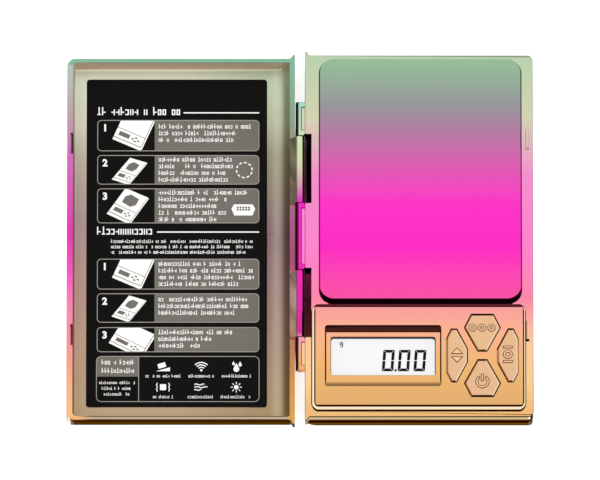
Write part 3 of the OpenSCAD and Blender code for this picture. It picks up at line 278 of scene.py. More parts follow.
# Rows of letter blocks: left, right, middle height, letter height
PLAIN_LINES = ((-64.9, -38.6, 44.0, 1.9), (-64.9, -47.5, 4.2, 1.9), (-60.4, -15.2, 0.9, 0.8),
               (-60.4, -15.2, -0.9, 0.8), (-60.4, -17.5, -2.7, 0.8), (-64.1, -52.8, -46.0, 0.75),
               (-63.3, -53.6, -47.9, 0.75), (-62.6, -54.6, -49.8, 0.75), (-49.3, -38.2, -43.8, 0.75),
               (-35.6, -27.6, -43.8, 0.75), (-24.9, -15.7, -43.8, 0.75), (-46.9, -40.6, -50.7, 0.75),
               (-35.8, -27.8, -50.7, 0.75), (-25.4, -15.4, -50.7, 0.75))
HEADER_LINES = ((-63.3, -53.1, -39.3, 1.2), (-63.3, -53.1, -42.1, 1.2))


def plated(part, stops, roughness, ripple=0.002, heights=(), grazing_shade="#FFFFFF", across=(),
           span=WHOLE_LENGTH, painted_streak=(), kind="vacuum"):
    """A mirror plating whose tint runs along the hinge, over slightly uneven moulded ABS.

    To the eye, the film mirrors the room in its tint, and a satin one blurs; darker tints on walls and edges
    are painted shade.
    Heights give painted reflection bands on a wall by height in millimetres: #BCBCBC leaves the tint, darker
    is painted shade and lighter is a painted highlight.
    Across gives a second row of tints and the two places along X between which it takes over. Span is the
    stretch along the hinge, in millimetres, that the tints are spread over. The painted streak is a painted
    highlight along the hinge, by its place along X, half its width, and its colour. The grazing shade tints
    reflections at a flat angle.
    """
    material, tree = start_material(f"{kind}-plated ABS, {part}")
    place = add(tree, "ShaderNodeTexCoord").outputs["Object"]
    x, y, z = add(tree, "ShaderNodeSeparateXYZ", {"Vector": place}).outputs
    tint = tint_along(tree, y, *span, stops)
    if across:
        other, start, end = across
        share = add(tree, "ShaderNodeMapRange", {"Value": x, "From Min": start * MM, "From Max": end * MM},
                    interpolation_type="SMOOTHSTEP")
        tint = add(tree, "ShaderNodeMix", {0: share, 6: tint, 7: tint_along(tree, y, *span, other)},
                   data_type="RGBA").outputs[2]
    # Painted reflection bands: darker is painted shade, lighter a painted highlight
    if heights:
        film = tint_along(tree, z, 0, WALL_PAINTED_BANDS_TOP, heights)
        thin = add(tree, "ShaderNodeMath", {0: film, 1: 2.0}, operation="MULTIPLY", use_clamp=True)
        painted_lift = add(tree, "ShaderNodeMath", {0: film, 1: 2.0, 2: -1.0}, operation="MULTIPLY_ADD",
                    use_clamp=True)
        painted_dark_tint = add(tree, "ShaderNodeMix", {0: 1.0, 6: tint, 7: thin}, data_type="RGBA",
                      blend_type="MULTIPLY")
        tint = add(tree, "ShaderNodeMix", {0: 1.0, 6: painted_dark_tint.outputs[2], 7: painted_lift}, data_type="RGBA",
                   blend_type="ADD", clamp_result=True).outputs[2]
    # A painted highlight along the hinge, screened over the tint
    if painted_streak:
        middle, half, code = painted_streak
        aside = add(tree, "ShaderNodeMath", {0: x, 1: middle * MM}, operation="SUBTRACT")
        aside = add(tree, "ShaderNodeMath", {0: aside}, operation="ABSOLUTE")
        near_it = add(tree, "ShaderNodeMapRange", {"Value": aside, "From Min": half * MM, "From Max": 0.0},
                      interpolation_type="SMOOTHSTEP")
        tint = add(tree, "ShaderNodeMix", {0: near_it, 6: tint, 7: linear(code)}, data_type="RGBA",
                   blend_type="SCREEN").outputs[2]
    # The moulded skin waves by a few micrometres over about 7 mm, which bends long reflections a little
    waves = add(tree, "ShaderNodeTexNoise", {"Vector": place, "Scale": 1 / 0.007, "Detail": 1.0})
    bump = add(tree, "ShaderNodeBump", {"Height": waves, "Strength": 1.0, "Distance": ripple * MM})
    # Polish varies a little over 3 mm
    haze = add(tree, "ShaderNodeTexNoise", {"Vector": place, "Scale": 1 / 0.003, "Detail": 2.0})
    polish = add(tree, "ShaderNodeMapRange",
                 {"Value": haze, "To Min": roughness * (1 - POLISH_SPREAD),
                  "To Max": roughness * (1 + POLISH_SPREAD)})
    # A grey grazing shade dims reflections at a flat angle, as painted shade
    metal = add(tree, "ShaderNodeBsdfPrincipled",
                {"Base Color": tint, "Roughness": polish, "Normal": bump, "Metallic": 1.0,
                 "Specular Tint": linear(grazing_shade)})
    return end_material(material, metal)


def grained(name, code, roughness, grain_mm, metallic=0.0, depth=0.01, shade=0.12, specular=0.5, glow=()):
    """A plain moulded, milled or pressed material with a fine grain in its tone and surface.

    Glow is a colour and a strength.
    """
    material, tree = start_material(name)
    place = add(tree, "ShaderNodeTexCoord").outputs["Object"]
    grain = add(tree, "ShaderNodeTexNoise", {"Vector": place, "Scale": 1 / (grain_mm * MM), "Detail": 3.0})
    base = linear(code)[:3]
    dark, light = (tuple(min(c * share, 1.0) for c in base) + (1.0,) for share in (1 - shade, 1 + shade))
    tone = add(tree, "ShaderNodeMix", {0: grain, 6: dark, 7: light}, data_type="RGBA")
    bump = add(tree, "ShaderNodeBump", {"Height": grain, "Strength": 1.0, "Distance": depth * MM})
    inputs = {"Base Color": tone.outputs[2], "Normal": bump, "Metallic": metallic, "Roughness": roughness,
              "Specular IOR Level": specular}
    if glow:
        inputs.update({"Emission Color": linear(glow[0]), "Emission Strength": glow[1]})
    return end_material(material, add(tree, "ShaderNodeBsdfPrincipled", inputs))


def clear_cover(name):
    """A clear moulding: nearly all light passes, and the polished face reflects a little."""
    material, tree = start_material(name)
    place = add(tree, "ShaderNodeTexCoord").outputs["Object"]
    # Flow in the mould bends reflections by a micrometre over 12 mm
    flow = add(tree, "ShaderNodeTexNoise", {"Vector": place, "Scale": 1 / 0.012, "Detail": 1.0})
    bump = add(tree, "ShaderNodeBump", {"Height": flow, "Strength": 1.0, "Distance": 0.001 * MM})
    shader = add(tree, "ShaderNodeBsdfPrincipled",
                 {"Normal": bump, "Base Color": linear("#202020"), "Roughness": 0.03, "IOR": 1.58,
                  "Alpha": 0.05, "Specular IOR Level": 0.25})
    return end_material(material, shader)


def nought_segments(width, height, stroke):
    """The six lit segments of a nought, as outlines from its lower left corner."""
    gap = 0.07
    point = 0.1
    half = height / 2
    flat = [(gap, 0), (width - gap, 0), (width - stroke - gap, stroke), (stroke + gap, stroke)]
    side = [(0, gap), (stroke, stroke + gap), (stroke, half - gap - point), (stroke / 2, half - gap),
            (0, half - gap - point)]
    outlines = []
    for flip_x, flip_y in ((False, False), (False, True), (True, False), (True, True)):
        shapes = [side] if flip_x else [side, flat]
        for shape in shapes:
            turned = [(width - x if flip_x else x, height - y if flip_y else y) for x, y in shape]
            outlines.append(turned[::-1] if flip_x != flip_y else turned)
    return outlines


def slice_across(solid, place, normal):
    """Cuts a mesh's faces along a plane, takes nothing off, and gives what lies in the cut."""
    parts = solid.verts[:] + solid.edges[:] + solid.faces[:]
    return bmesh.ops.bisect_plane(solid, geom=parts, dist=1e-7, plane_co=place, plane_no=normal)["geom_cut"]


def node_copy(node, ending, materials):
    """A CAD node's mesh under a new name, with its own finishes."""
    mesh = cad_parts[node].data.copy()
    mesh.name = node + ending
    mesh.materials.clear()
    for material in materials:
        mesh.materials.append(material)
    return mesh


def round_edges(mesh, cuts, rules):
    """Welds a CAD mesh, joins its flat faces, and rounds the convex edges that a rule picks.

    The cuts are planes through the middle of each opening, so that no joined face has a hole in it.
    """
    solid = bmesh.new()
    solid.from_mesh(mesh)
    bmesh.ops.remove_doubles(solid, verts=solid.verts, dist=WELD)
    for axis, value in cuts:
        normal = Vector([float(i == axis) for i in range(3)])
        for part in slice_across(solid, normal * value * MM, normal):
            if isinstance(part, bmesh.types.BMEdge):
                part.seam = True
    bmesh.ops.dissolve_limit(solid, angle_limit=FLAT_WITHIN, use_dissolve_boundaries=False,
                             verts=solid.verts, edges=solid.edges, delimit={"SEAM"})
    for width, segments, wanted in rules:
        chosen = []
        for edge in solid.edges:
            if len(edge.link_faces) != 2 or not edge.is_convex:
                continue
            if edge.calc_face_angle(0.0) < ROUND_FROM:
                continue
            middle = (edge.verts[0].co + edge.verts[1].co) / (2 * MM)
            if wanted(middle, [f.normal for f in edge.link_faces]):
                chosen.append(edge)
        bmesh.ops.bevel(solid, geom=chosen, offset=width * MM, offset_type="OFFSET", segments=segments,
                        profile=0.5, affect="EDGES", clamp_overlap=False, loop_slide=True)
        bmesh.ops.remove_doubles(solid, verts=solid.verts, dist=1e-7)
    solid.to_mesh(mesh)
    solid.free()


def colour_faces(mesh, choose):
    """A rule picks each face's finish, and shading is smooth up to the sharp edges."""
    for face in mesh.polygons:
        face.material_index = choose(face.center / MM, face.normal)
        face.use_smooth = True
    mesh.set_sharp_from_angle(angle=SHARP_FROM)


def dress_node(node, cuts, rules, choose, materials, body):
    """A copy of a CAD node with rounded edges and its own finishes, shown in the node's place."""
    mesh = node_copy(node, "_finished", materials)
    round_edges(mesh, cuts, rules)
    colour_faces(mesh, choose)
    piece = new_object(mesh.name, mesh)
    weighted = piece.modifiers.new("weighted normals", "WEIGHTED_NORMAL")
    weighted.keep_sharp = True
    weighted.weight = NORMAL_WEIGHT
    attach(piece, body)
    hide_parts(node)


def give_node(node, material):
    """A CAD node keeps its shape and takes a finish."""
    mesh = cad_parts[node].data
    mesh.materials.clear()
    mesh.materials.append(material)


def up_facing(normals):
    return max(n.z for n in normals) > 0.5


class Layer:
    """Flat printing or low relief: closed prisms gathered into one mesh, sizes in millimetres."""

    def __init__(self, bottom, height):
        self.mesh = bmesh.new()
        self.bottom = bottom
        self.top = bottom + height

    def rings(self, outline):
        loops = []
        for z in (self.bottom, self.top):
            loops.append([self.mesh.verts.new((x * MM, y * MM, z * MM)) for x, y in outline])
        return loops

    def walls(self, low, high):
        for i, vert in enumerate(low):
            self.mesh.faces.new((low[i - 1], vert, high[i], high[i - 1]))

    def shape(self, outline):
        """A filled outline, given anticlockwise."""
        low, high = self.rings(outline)
        self.mesh.faces.new(high)
        self.mesh.faces.new(low[::-1])
        self.walls(low, high)

    def band(self, outer, inner):
        """The band between two closed outlines with the same number of points."""
        outer_low, outer_high = self.rings(outer)
        inner_low, inner_high = self.rings(inner)
        self.walls(outer_low, outer_high)
        self.walls(inner_low[::-1], inner_high[::-1])
        for i in range(len(outer)):
            self.mesh.faces.new((outer_high[i - 1], outer_high[i], inner_high[i], inner_high[i - 1]))
            self.mesh.faces.new((outer_low[i], outer_low[i - 1], inner_low[i - 1], inner_low[i]))

    def frame(self, x0, y0, x1, y1, radius, width=0.25):
        """A frame of even width with round corners; gives its inner outline."""
        inner = rounded(x0 + width, y0 + width, x1 - width, y1 - width, radius - width)
        self.band(rounded(x0, y0, x1, y1, radius), inner)
        return inner

    def line(self, points, width):
        """A line of even width through points."""
        path = [Vector(point) for point in points]
        sides = []
        for i, point in enumerate(path):
            ahead = path[min(i + 1, len(path) - 1)] - path[max(i - 1, 0)]
            sides.append(Vector((-ahead.y, ahead.x)).normalized() * width / 2)
        right = [point - side for point, side in zip(path, sides)]
        left = [point + side for point, side in zip(path, sides)]
        self.shape(right + left[::-1])

    def figure(self, text, x, y, height):
        """A plain number with its middle at a place."""
        curve = bpy.data.curves.new("figure", "FONT")
        curve.body = text
        curve.align_x = "CENTER"
        curve.align_y = "CENTER"
        curve.size = height * FONT_SIZE * MM
        curve.extrude = (self.top - self.bottom) / 2 * MM
        curve.offset = height * FONT_BOLD * MM
        holder = bpy.data.objects.new("figure", curve)
        flat = bpy.data.meshes.new_from_object(holder)
        flat.transform(Matrix.Translation((x * MM, y * MM, (self.top + self.bottom) / 2 * MM)))
        self.mesh.from_mesh(flat)
        bpy.data.objects.remove(holder)
        bpy.data.curves.remove(curve)
        bpy.data.meshes.remove(flat)

    def finish(self, name, materials, body, slot, slope=0.0):
        """The layer as a piece; a slope rounds its upper edges, and a second material goes on its sides."""
        bmesh.ops.remove_doubles(self.mesh, verts=self.mesh.verts, dist=1e-8)
        bmesh.ops.recalc_face_normals(self.mesh, faces=self.mesh.faces)
        if slope:
            level = self.top * MM - 1e-7
            upper = [edge for edge in self.mesh.edges
                     if edge.calc_face_angle(0.0) > 1 and min(v.co.z for v in edge.verts) > level]
            bmesh.ops.bevel(self.mesh, geom=upper, offset=slope * MM, offset_type="OFFSET", segments=2,
                            profile=0.5, affect="EDGES", clamp_overlap=True)
        mesh = bpy.data.meshes.new(name)
        self.mesh.to_mesh(mesh)
        self.mesh.free()
        for material in materials:
            mesh.materials.append(material)
        for face in mesh.polygons:
            face.material_index = len(materials) - 1 if abs(face.normal.z) < 0.97 else 0
        piece = new_object(name, mesh)
        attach(piece, body)


def arc(x, y, radius, start=0, end=360, steps=24):
    """Points along a circle between two angles in degrees; a full circle leaves its last point out."""
    count = steps if end - start == 360 else steps + 1
    turns = [math.radians(start + (end - start) * i / steps) for i in range(count)]
    return [(x + radius * math.cos(turn), y + radius * math.sin(turn)) for turn in turns]


def rounded(x0, y0, x1, y1, radius, steps=4):
    """A rectangle with round corners, anticlockwise."""
    corners = ((x1 - radius, y1 - radius, 0), (x0 + radius, y1 - radius, 90),
               (x0 + radius, y0 + radius, 180), (x1 - radius, y0 + radius, 270))
    return [point for x, y, turn in corners for point in arc(x, y, radius, turn, turn + 90, steps)]


def clipped(outline, box):
    """The part of an outline inside a box given by its low and high corners."""
    x0, y0, x1, y1 = box
    for axis, limit, sign in ((0, x0, 1), (0, x1, -1), (1, y0, 1), (1, y1, -1)):
        kept = []
        for i, point in enumerate(outline):
            before = outline[i - 1]
            here = (point[axis] - limit) * sign
            there = (before[axis] - limit) * sign
            if (here >= 0) != (there >= 0):
                share = there / (there - here)
                kept.append(tuple(b + (p - b) * share for b, p in zip(before, point)))
            if here >= 0:
                kept.append(point)
        outline = kept
    return outline


def run_nodes(name, mesh, tree, values):
    """A mesh through a Geometry Nodes tree, as a plain mesh on an object at the origin."""
    piece = new_object(name, mesh)
    maker = piece.modifiers.new(tree.name, "NODES")
    maker.node_group = tree
    for item in tree.interface.items_tree:
        if item.item_type == "SOCKET" and item.in_out == "INPUT" and item.name in values:
            maker[item.identifier] = values[item.name]
    bpy.context.view_layer.update()
    made = piece.evaluated_get(bpy.context.evaluated_depsgraph_get())
    plain = bpy.data.meshes.new_from_object(made)
    piece.modifiers.remove(maker)
    piece.data = plain
    plain.name = name
    return piece


def start_tree(name, floats, seed=None):
    """An empty Geometry Nodes tree with a geometry input, named sizes and a geometry output."""
    tree = bpy.data.node_groups.new(name, "GeometryNodeTree")
    new_socket = tree.interface.new_socket
    new_socket(name="Geometry", in_out="INPUT", socket_type="NodeSocketGeometry")
    for label, value in floats.items():
        new_socket(name=label, in_out="INPUT", socket_type="NodeSocketFloat").default_value = value
    if seed is not None:
        new_socket(name="Seed", in_out="INPUT", socket_type="NodeSocketInt").default_value = seed
    new_socket(name="Geometry", in_out="OUTPUT", socket_type="NodeSocketGeometry")
    return tree, add(tree, "NodeGroupInput")


def end_tree(tree, instances, material):
    real = add(tree, "GeometryNodeRealizeInstances", {0: instances})
    add(tree, "NodeGroupOutput", {0: add(tree, "GeometryNodeSetMaterial", {0: real, "Material": material})})


class ScaleStageSettings(bpy.types.PropertyGroup):
    lens: FloatProperty(name="Lens", description="Focal length of the camera in millimetres", default=1280.0)
    distance: FloatProperty(name="Distance", description="Distance from the camera to the scale",
                            default=6.82, unit="LENGTH")
    elevation: FloatProperty(name="Elevation", description="Angle of the camera above the table",
                             default=math.radians(74.2), subtype="ANGLE")
    floor_size: FloatProperty(name="Floor", description="Width of the floor", default=8.0, unit="LENGTH")
    floor_colour: FloatVectorProperty(name="Floor colour", description="Colour of the floor",
                                      default=linear("#BEBEBE"), size=4, subtype="COLOR")


class ScaleLabelSettings(bpy.types.PropertyGroup):
    ink: FloatProperty(name="Ink", description="Thickness of the printing", default=0.02 * MM,
                       unit="LENGTH")
    letter: FloatProperty(name="Letter height", description="Height of the letter blocks in the steps",
                          default=1.1 * MM, unit="LENGTH")


class ScaleDisplaySettings(bpy.types.PropertyGroup):
    digit_height: FloatProperty(name="Digit height", description="Height of the display's digits",
                                default=7.1 * MM, unit="LENGTH")
    digit_width: FloatProperty(name="Digit width", description="Width of the display's digits",
                               default=3.7 * MM, unit="LENGTH")
    digit_pitch: FloatProperty(name="Digit pitch", description="Distance between digits",
                               default=5.04 * MM, unit="LENGTH")
    segment: FloatProperty(name="Segment", description="Width of a digit's segments", default=0.95 * MM,
                           unit="LENGTH")
    slant: FloatProperty(name="Slant", description="Lean of the digits", default=math.radians(4.3),
                         subtype="ANGLE")


class SCALE_OT_stage(bpy.types.Operator):
    """Sets the floor, the studio light and the camera"""
    bl_idname = "scale.stage"
    bl_label = "Stage"

    def execute(self, context):
        settings = context.scene.scale_stage
        self.lay_floor(settings)
        self.light_room(context.scene)
        self.aim_camera(context.scene, settings)
        context.scene.view_settings.view_transform = "Standard"
        return {"FINISHED"}

    def lay_floor(self, settings):
        """A sheet of matt paper, unlit under the hinge and clear from below"""
        mesh = bpy.data.meshes.new("floor")
        half = settings.floor_size / 2
        corners = ((-half, -half), (half, -half), (half, half), (-half, half))
        mesh.from_pydata([(x, y, -FLOOR_DROP * MM) for x, y in corners], [], [(0, 1, 2, 3)])
        floor = new_object("floor", mesh)
        material, tree = start_material("matt white paper sweep")
        light = add(tree, "ShaderNodeLightPath").outputs
        seen = light["Is Camera Ray"]
        for ray in ("Is Glossy Ray", "Is Transmission Ray"):
            seen = add(tree, "ShaderNodeMath", {0: seen, 1: light[ray]}, operation="MAXIMUM")
        glow = add(tree, "ShaderNodeMath", {0: seen, 1: PAPER_GLOW}, operation="MULTIPLY")
        # Under the hinge the paper is left unlit, so that its narrow slits stay dark
        place = add(tree, "ShaderNodeTexCoord").outputs["Object"]
        axes = add(tree, "ShaderNodeSeparateXYZ", {"Vector": place}).outputs
        outside = 0.0
        for axis, (near, far) in HINGE_SHADE.items():
            size = add(tree, "ShaderNodeMath", {0: axes[axis]}, operation="ABSOLUTE")
            beyond = add(tree, "ShaderNodeMapRange",
                         {"Value": size, "From Min": near * MM, "From Max": far * MM},
                         interpolation_type="SMOOTHSTEP")
            outside = add(tree, "ShaderNodeMath", {0: outside, 1: beyond}, operation="MAXIMUM")
        glow = add(tree, "ShaderNodeMath", {0: glow, 1: outside}, operation="MULTIPLY")
        paper = add(tree, "ShaderNodeBsdfPrincipled",
                    {"Base Color": settings.floor_colour, "Roughness": 0.9, "Specular IOR Level": 0.0,
                     "Emission Color": (1, 1, 1, 1), "Emission Strength": glow})
        # From below the paper is clear, so that the underside can be seen
        below = add(tree, "ShaderNodeNewGeometry").outputs["Backfacing"]
        clear = add(tree, "ShaderNodeBsdfTransparent")
        sheet = add(tree, "ShaderNodeMixShader", {0: below, 1: paper, 2: clear})
        mesh.materials.append(end_material(material, sheet))

    def light_room(self, scene):
        """A bright ceiling over dark walls, which draw dark lines along plated edges, and two softboxes"""
        world = bpy.data.worlds.new("studio")
        scene.world = world
        world.use_nodes = True
        tree = world.node_tree
        tree.nodes.clear()
        place = add(tree, "ShaderNodeTexCoord").outputs["Generated"]
        axes = add(tree, "ShaderNodeSeparateXYZ", {"Vector": place}).outputs
        height = axes["Z"]
        for axis, lean in ROOM_LEAN.items():
            height = add(tree, "ShaderNodeMath", {0: axes[axis], 1: lean, 2: height},
                         operation="MULTIPLY_ADD")
        # The term for every side keeps any side of the scale from looking black
        overhead = add(tree, "ShaderNodeMath", {0: axes["Z"], 1: OVERHEAD[0], 2: OVERHEAD[1]},
                       operation="MULTIPLY_ADD")
        height = add(tree, "ShaderNodeMath", {0: height, 1: overhead}, operation="MAXIMUM")
        ramp = add(tree, "ShaderNodeValToRGB", {"Fac": height})
        fill_ramp(ramp, ROOM_TONES)
        back = add(tree, "ShaderNodeBackground", {"Color": ramp})
        add(tree, "ShaderNodeOutputWorld", {"Surface": back})
        for name, where in SOFTBOXES.items():
            lamp = bpy.data.lights.new(name, "AREA")
            lamp.shape = "SQUARE"
            lamp.size = SOFTBOX_SIZE
            lamp.energy = SOFTBOX_POWER
            holder = new_object(name, lamp)
            holder.location = where
            # The lamps light matt surfaces; plating shows the room alone, at the colours written above
            holder.visible_glossy = False
            holder.rotation_euler = (-Vector(where)).to_track_quat("-Z", "Y").to_euler()

    def aim_camera(self, scene, settings):
        """A long lens, tilted from straight above towards the near side"""
        camera = bpy.data.cameras.new("camera")
        camera.lens = settings.lens
        camera.sensor_width = SENSOR_WIDTH
        camera.clip_end = CAMERA_REACH
        holder = new_object("camera", camera)
        tilt = settings.elevation
        offset = Vector((0, -math.cos(tilt), math.sin(tilt))) * settings.distance
        holder.location = Vector(CAMERA_TARGET) * MM + offset
        holder.rotation_euler = (-offset).to_track_quat("-Z", "Y").to_euler()
        scene.camera = holder


class SCALE_OT_body_shells(bpy.types.Operator):
    """Rounds and plates the upper and lower shells of the body and the battery door"""
    bl_idname = "scale.body_shells"
    bl_label = "Body shells"

    def execute(self, context):
        surround = plated("surround", SURROUND, 0.07)
        panel = plated("control panel", PANEL, 0.06)
        hinge = plated("hinge knuckles", KNUCKLES, 0.1)
        # Painted shade: darker tints on steep walls, edges, pockets and recesses
        shaded = plated("painted shade on steep walls", STEEP_PAINTED_SHADE, 0.12, grazing_shade=STEEP_GRAZING_SHADE)
        # Painted light on the ledge: a bright line as painted highlight, dark at its far side as painted
        # shade
        ledge = plated("painted light on the ledge", LEDGE_PAINTED_LIGHT, 0.1, span=PANEL_LENGTH)
        # Painted shade in the groove behind the control panel, as darker tints
        groove = plated("groove behind the control panel", GROOVE_PAINTED_SHADE, 0.5, grazing_shade=STEEP_GRAZING_SHADE)
        # Painted reflection bands by height on the outer walls
        walls = {"heights": WALL_PAINTED_BANDS, "grazing_shade": OUTER_GRAZING_SHADE}
        outside = plated("outer walls", SURROUND, 0.08, **walls)
        low_wall = plated("thin film on the lower walls", SURROUND, 0.1, **walls)
        top = SURROUND_TOP

        def on_knuckle(p):
            return p.x < 1.7 and p.z > 8.4 and math.hypot(p.x, p.z - 10) > 0.9

        def in_recess(p):
            return 7.8 < p.x < 45.4 and -50.9 < p.y < -30.2

        def in_opening(p):
            return 4.4 < p.x < 72.2 and -22.5 < p.y < 58.2

        def on_panel(p, n):
            return p.z > top + 0.5 and up_facing(n)

        def on_surround(p, n):
            return top - 0.1 < p.z < top + 0.5 and up_facing(n)

        rules = [(0.28, 3, lambda p, n: on_panel(p, n) and not in_recess(p)),
                 (0.14, 2, lambda p, n: on_panel(p, n) and in_recess(p)),
                 (0.22, 3, lambda p, n: (on_surround(p, n) and not in_opening(p)) or on_knuckle(p)),
                 (0.08, 2, lambda p, n: on_surround(p, n) and in_opening(p))]

        def choose(p, n):
            # The knuckles, with the flat strip between them; their sloped faces take painted shade as dark
            # outlines
            if 0.62 < p.x < 1.59 and 10.5 < p.z < 11.2 and n.z > 0.9:
                return 0
            if p.x < 1.59:
                return 3 if p.z > 10.2 and 0.25 < n.z < 0.96 else 2
            # The outer walls, with painted reflection bands, and the body's side behind the knuckles, with
            # painted shade
            if abs(n.z) < 0.6 and (p.x > 74.3 or abs(p.y) > 59.8):
                return 5
            if p.x < 3.8 and p.z < 11.9 and abs(p.y) < 40:
                return 3
            # Painted shade in the groove behind the control panel, on the panel's far edge and on steep walls
            # at the panel
            if -24.9 < p.y < -23 and p.z > 13.9 and n.y > 0.2:
                return 3
            if -24.9 < p.y < -21.2 and 6 < p.x < 71 and p.z < 14.3:
                return 6
            trench = p.y > -24.4 and p.z < 14.3
            if p.y < -21.2 and (abs(n.z) < 0.75 or (trench and 6 < p.x < 71)):
                return 3
            # Painted shade below the platform, a painted highlight on the ledge of the display recess, and
            # the flat tops
            if p.z < top - 0.3 and p.y > -22:
                return 3
            if abs(p.z - 13.3) < 0.05 and p.y < -23:
                return 4
            return 1 if p.z > top + 0.06 and p.y < -23 else 0

        dress_node("top_frame", [(1, -40.5), (1, 18.3)], rules, choose,
                   [surround, panel, hinge, shaded, ledge, outside, groove], "case")

        def choose_low(p, n):
            return 1 if abs(n.z) < 0.8 and (p.x > 74.0 or abs(p.y) > 59.4) else 0

        dress_node("bottom_shell", [], [], choose_low, [surround, low_wall], "case")
        dress_node("battery_door", [], [(0.1, 2, lambda p, n: p.z < 0.6)],
                   lambda p, n: 1 if abs(n.z) < 0.7 else 0, [surround, low_wall], "door")
        return {"FINISHED"}


class SCALE_OT_lid_shell(bpy.types.Operator):
    """Rounds and plates the lid"""
    bl_idname = "scale.lid_shell"
    bl_label = "Lid shell"

    def execute(self, context):
        rim = plated("lid rim", LID_RIM, 0.07)
        # The tray darkens towards its hinge side as painted shade, and its sweep takes a painted highlight
        tray = plated("satin inside of the lid", LID_TRAY, 0.45, across=(LID_TRAY_PAINTED_SHADE, -45, -7),
                      painted_streak=SWEEP_PAINTED_HIGHLIGHT)
        hinge = plated("hinge side of the lid", HINGE_SIDE, 0.1, ripple=0.0005)
        knuckle = plated("lid knuckles", KNUCKLES, 0.1)
        arm = plated("arms of the lid", ARMS, 0.15)
        # Painted reflection bands across the rolled near lip, plain towards the corners
        near = plated("rolled near lip of the lid", NEAR_RIM_PAINTED_BANDS, 0.1, ripple=0.0005,
                      across=(NEAR_CORNER, -66, -72), span=NEAR_LIP)
        # Painted reflection bands by height on the lid's outer walls, with a grey grazing tint as painted
        # shade
        outside = plated("outer walls of the lid", LID_RIM, 0.08, heights=LID_WALL_PAINTED_BANDS,
                         grazing_shade=OUTER_GRAZING_SHADE)
        # The far inner wall faces the light through a lacquer that scatters more of it
        lacquered = grained("lacquered vacuum-plated ABS, far inner wall of the lid", "#C9AE92", 0.5, 1.5,
                            metallic=0.3, depth=0.002, shade=0.08)

        def on_rim(p, n):
            if -3.2 < p.x < -1.2 and p.z < 8.2:
                return False
            return p.z > 6.2 and (up_facing(n) or p.x > -1.7) and math.hypot(p.x, p.z - 10) > 0.9

        rules = [(0.2, 3, on_rim), (0.04, 2, lambda p, n: 1.1 < p.z < 1.3 and up_facing(n))]

        def choose(p, n):
            # Knuckles, arms, the near lip with its painted reflection bands, the hinge and far sides, and the
            # outer walls with painted reflection bands
            if p.x > -1.5 and p.z > 8:
                return 4
            if p.x > -3.25 and p.z > 6:
                return 6 if 11 < abs(p.y) < 34.5 else 2
            if p.z > 7.6 and n.z > 0.5 and p.y < -57.9:
                return 5
            if p.z > 7.6 and n.z > 0.5 and (p.y > 57.9 or p.x > -3.9):
                return 2
            if abs(n.z) < 0.7 and (p.x < -74 or abs(p.y) > 59.6):
                return 3
            # The inside: its far wall, then the floor and the other walls
            inside = -72.45 < p.x < -3.3 and abs(p.y) < 58.68
            if inside and n.y < -0.5 and p.y > 50 and p.z < 7.7:
                return 7
            return 1 if inside and 0.1 < p.z < 7.7 else 0

        cuts = [(1, 0.0), (1, 22.3), (1, -22.3), (0, -38.0), (0, -3.9), (1, 57.9), (1, -57.9),
                (1, 11.05), (1, -11.05)]
        dress_node("lid_shell", cuts, rules, choose, [rim, tray, hinge, outside, knuckle, near, arm,
                                                      lacquered],
                   "lid")
        return {"FINISHED"}


class SCALE_OT_platform(bpy.types.Operator):
    """Rounds and plates the weighing platform"""
    bl_idname = "scale.platform"
    bl_label = "Weighing platform"

    def execute(self, context):
        satin = plated("weighing platform", PLATFORM, 0.16, kind="satin")
        # Painted shade on the faces of the platform's edge that face the near side
        shaded = plated("thin film on the platform's edge", STEEP_PAINTED_SHADE, 0.2, kind="satin")
        dress_node("platform", [], [(0.3, 4, lambda p, n: p.z > 13.5)], lambda p, n: int(n.y < -0.4),
                   [satin, shaded], "platform")
        return {"FINISHED"}


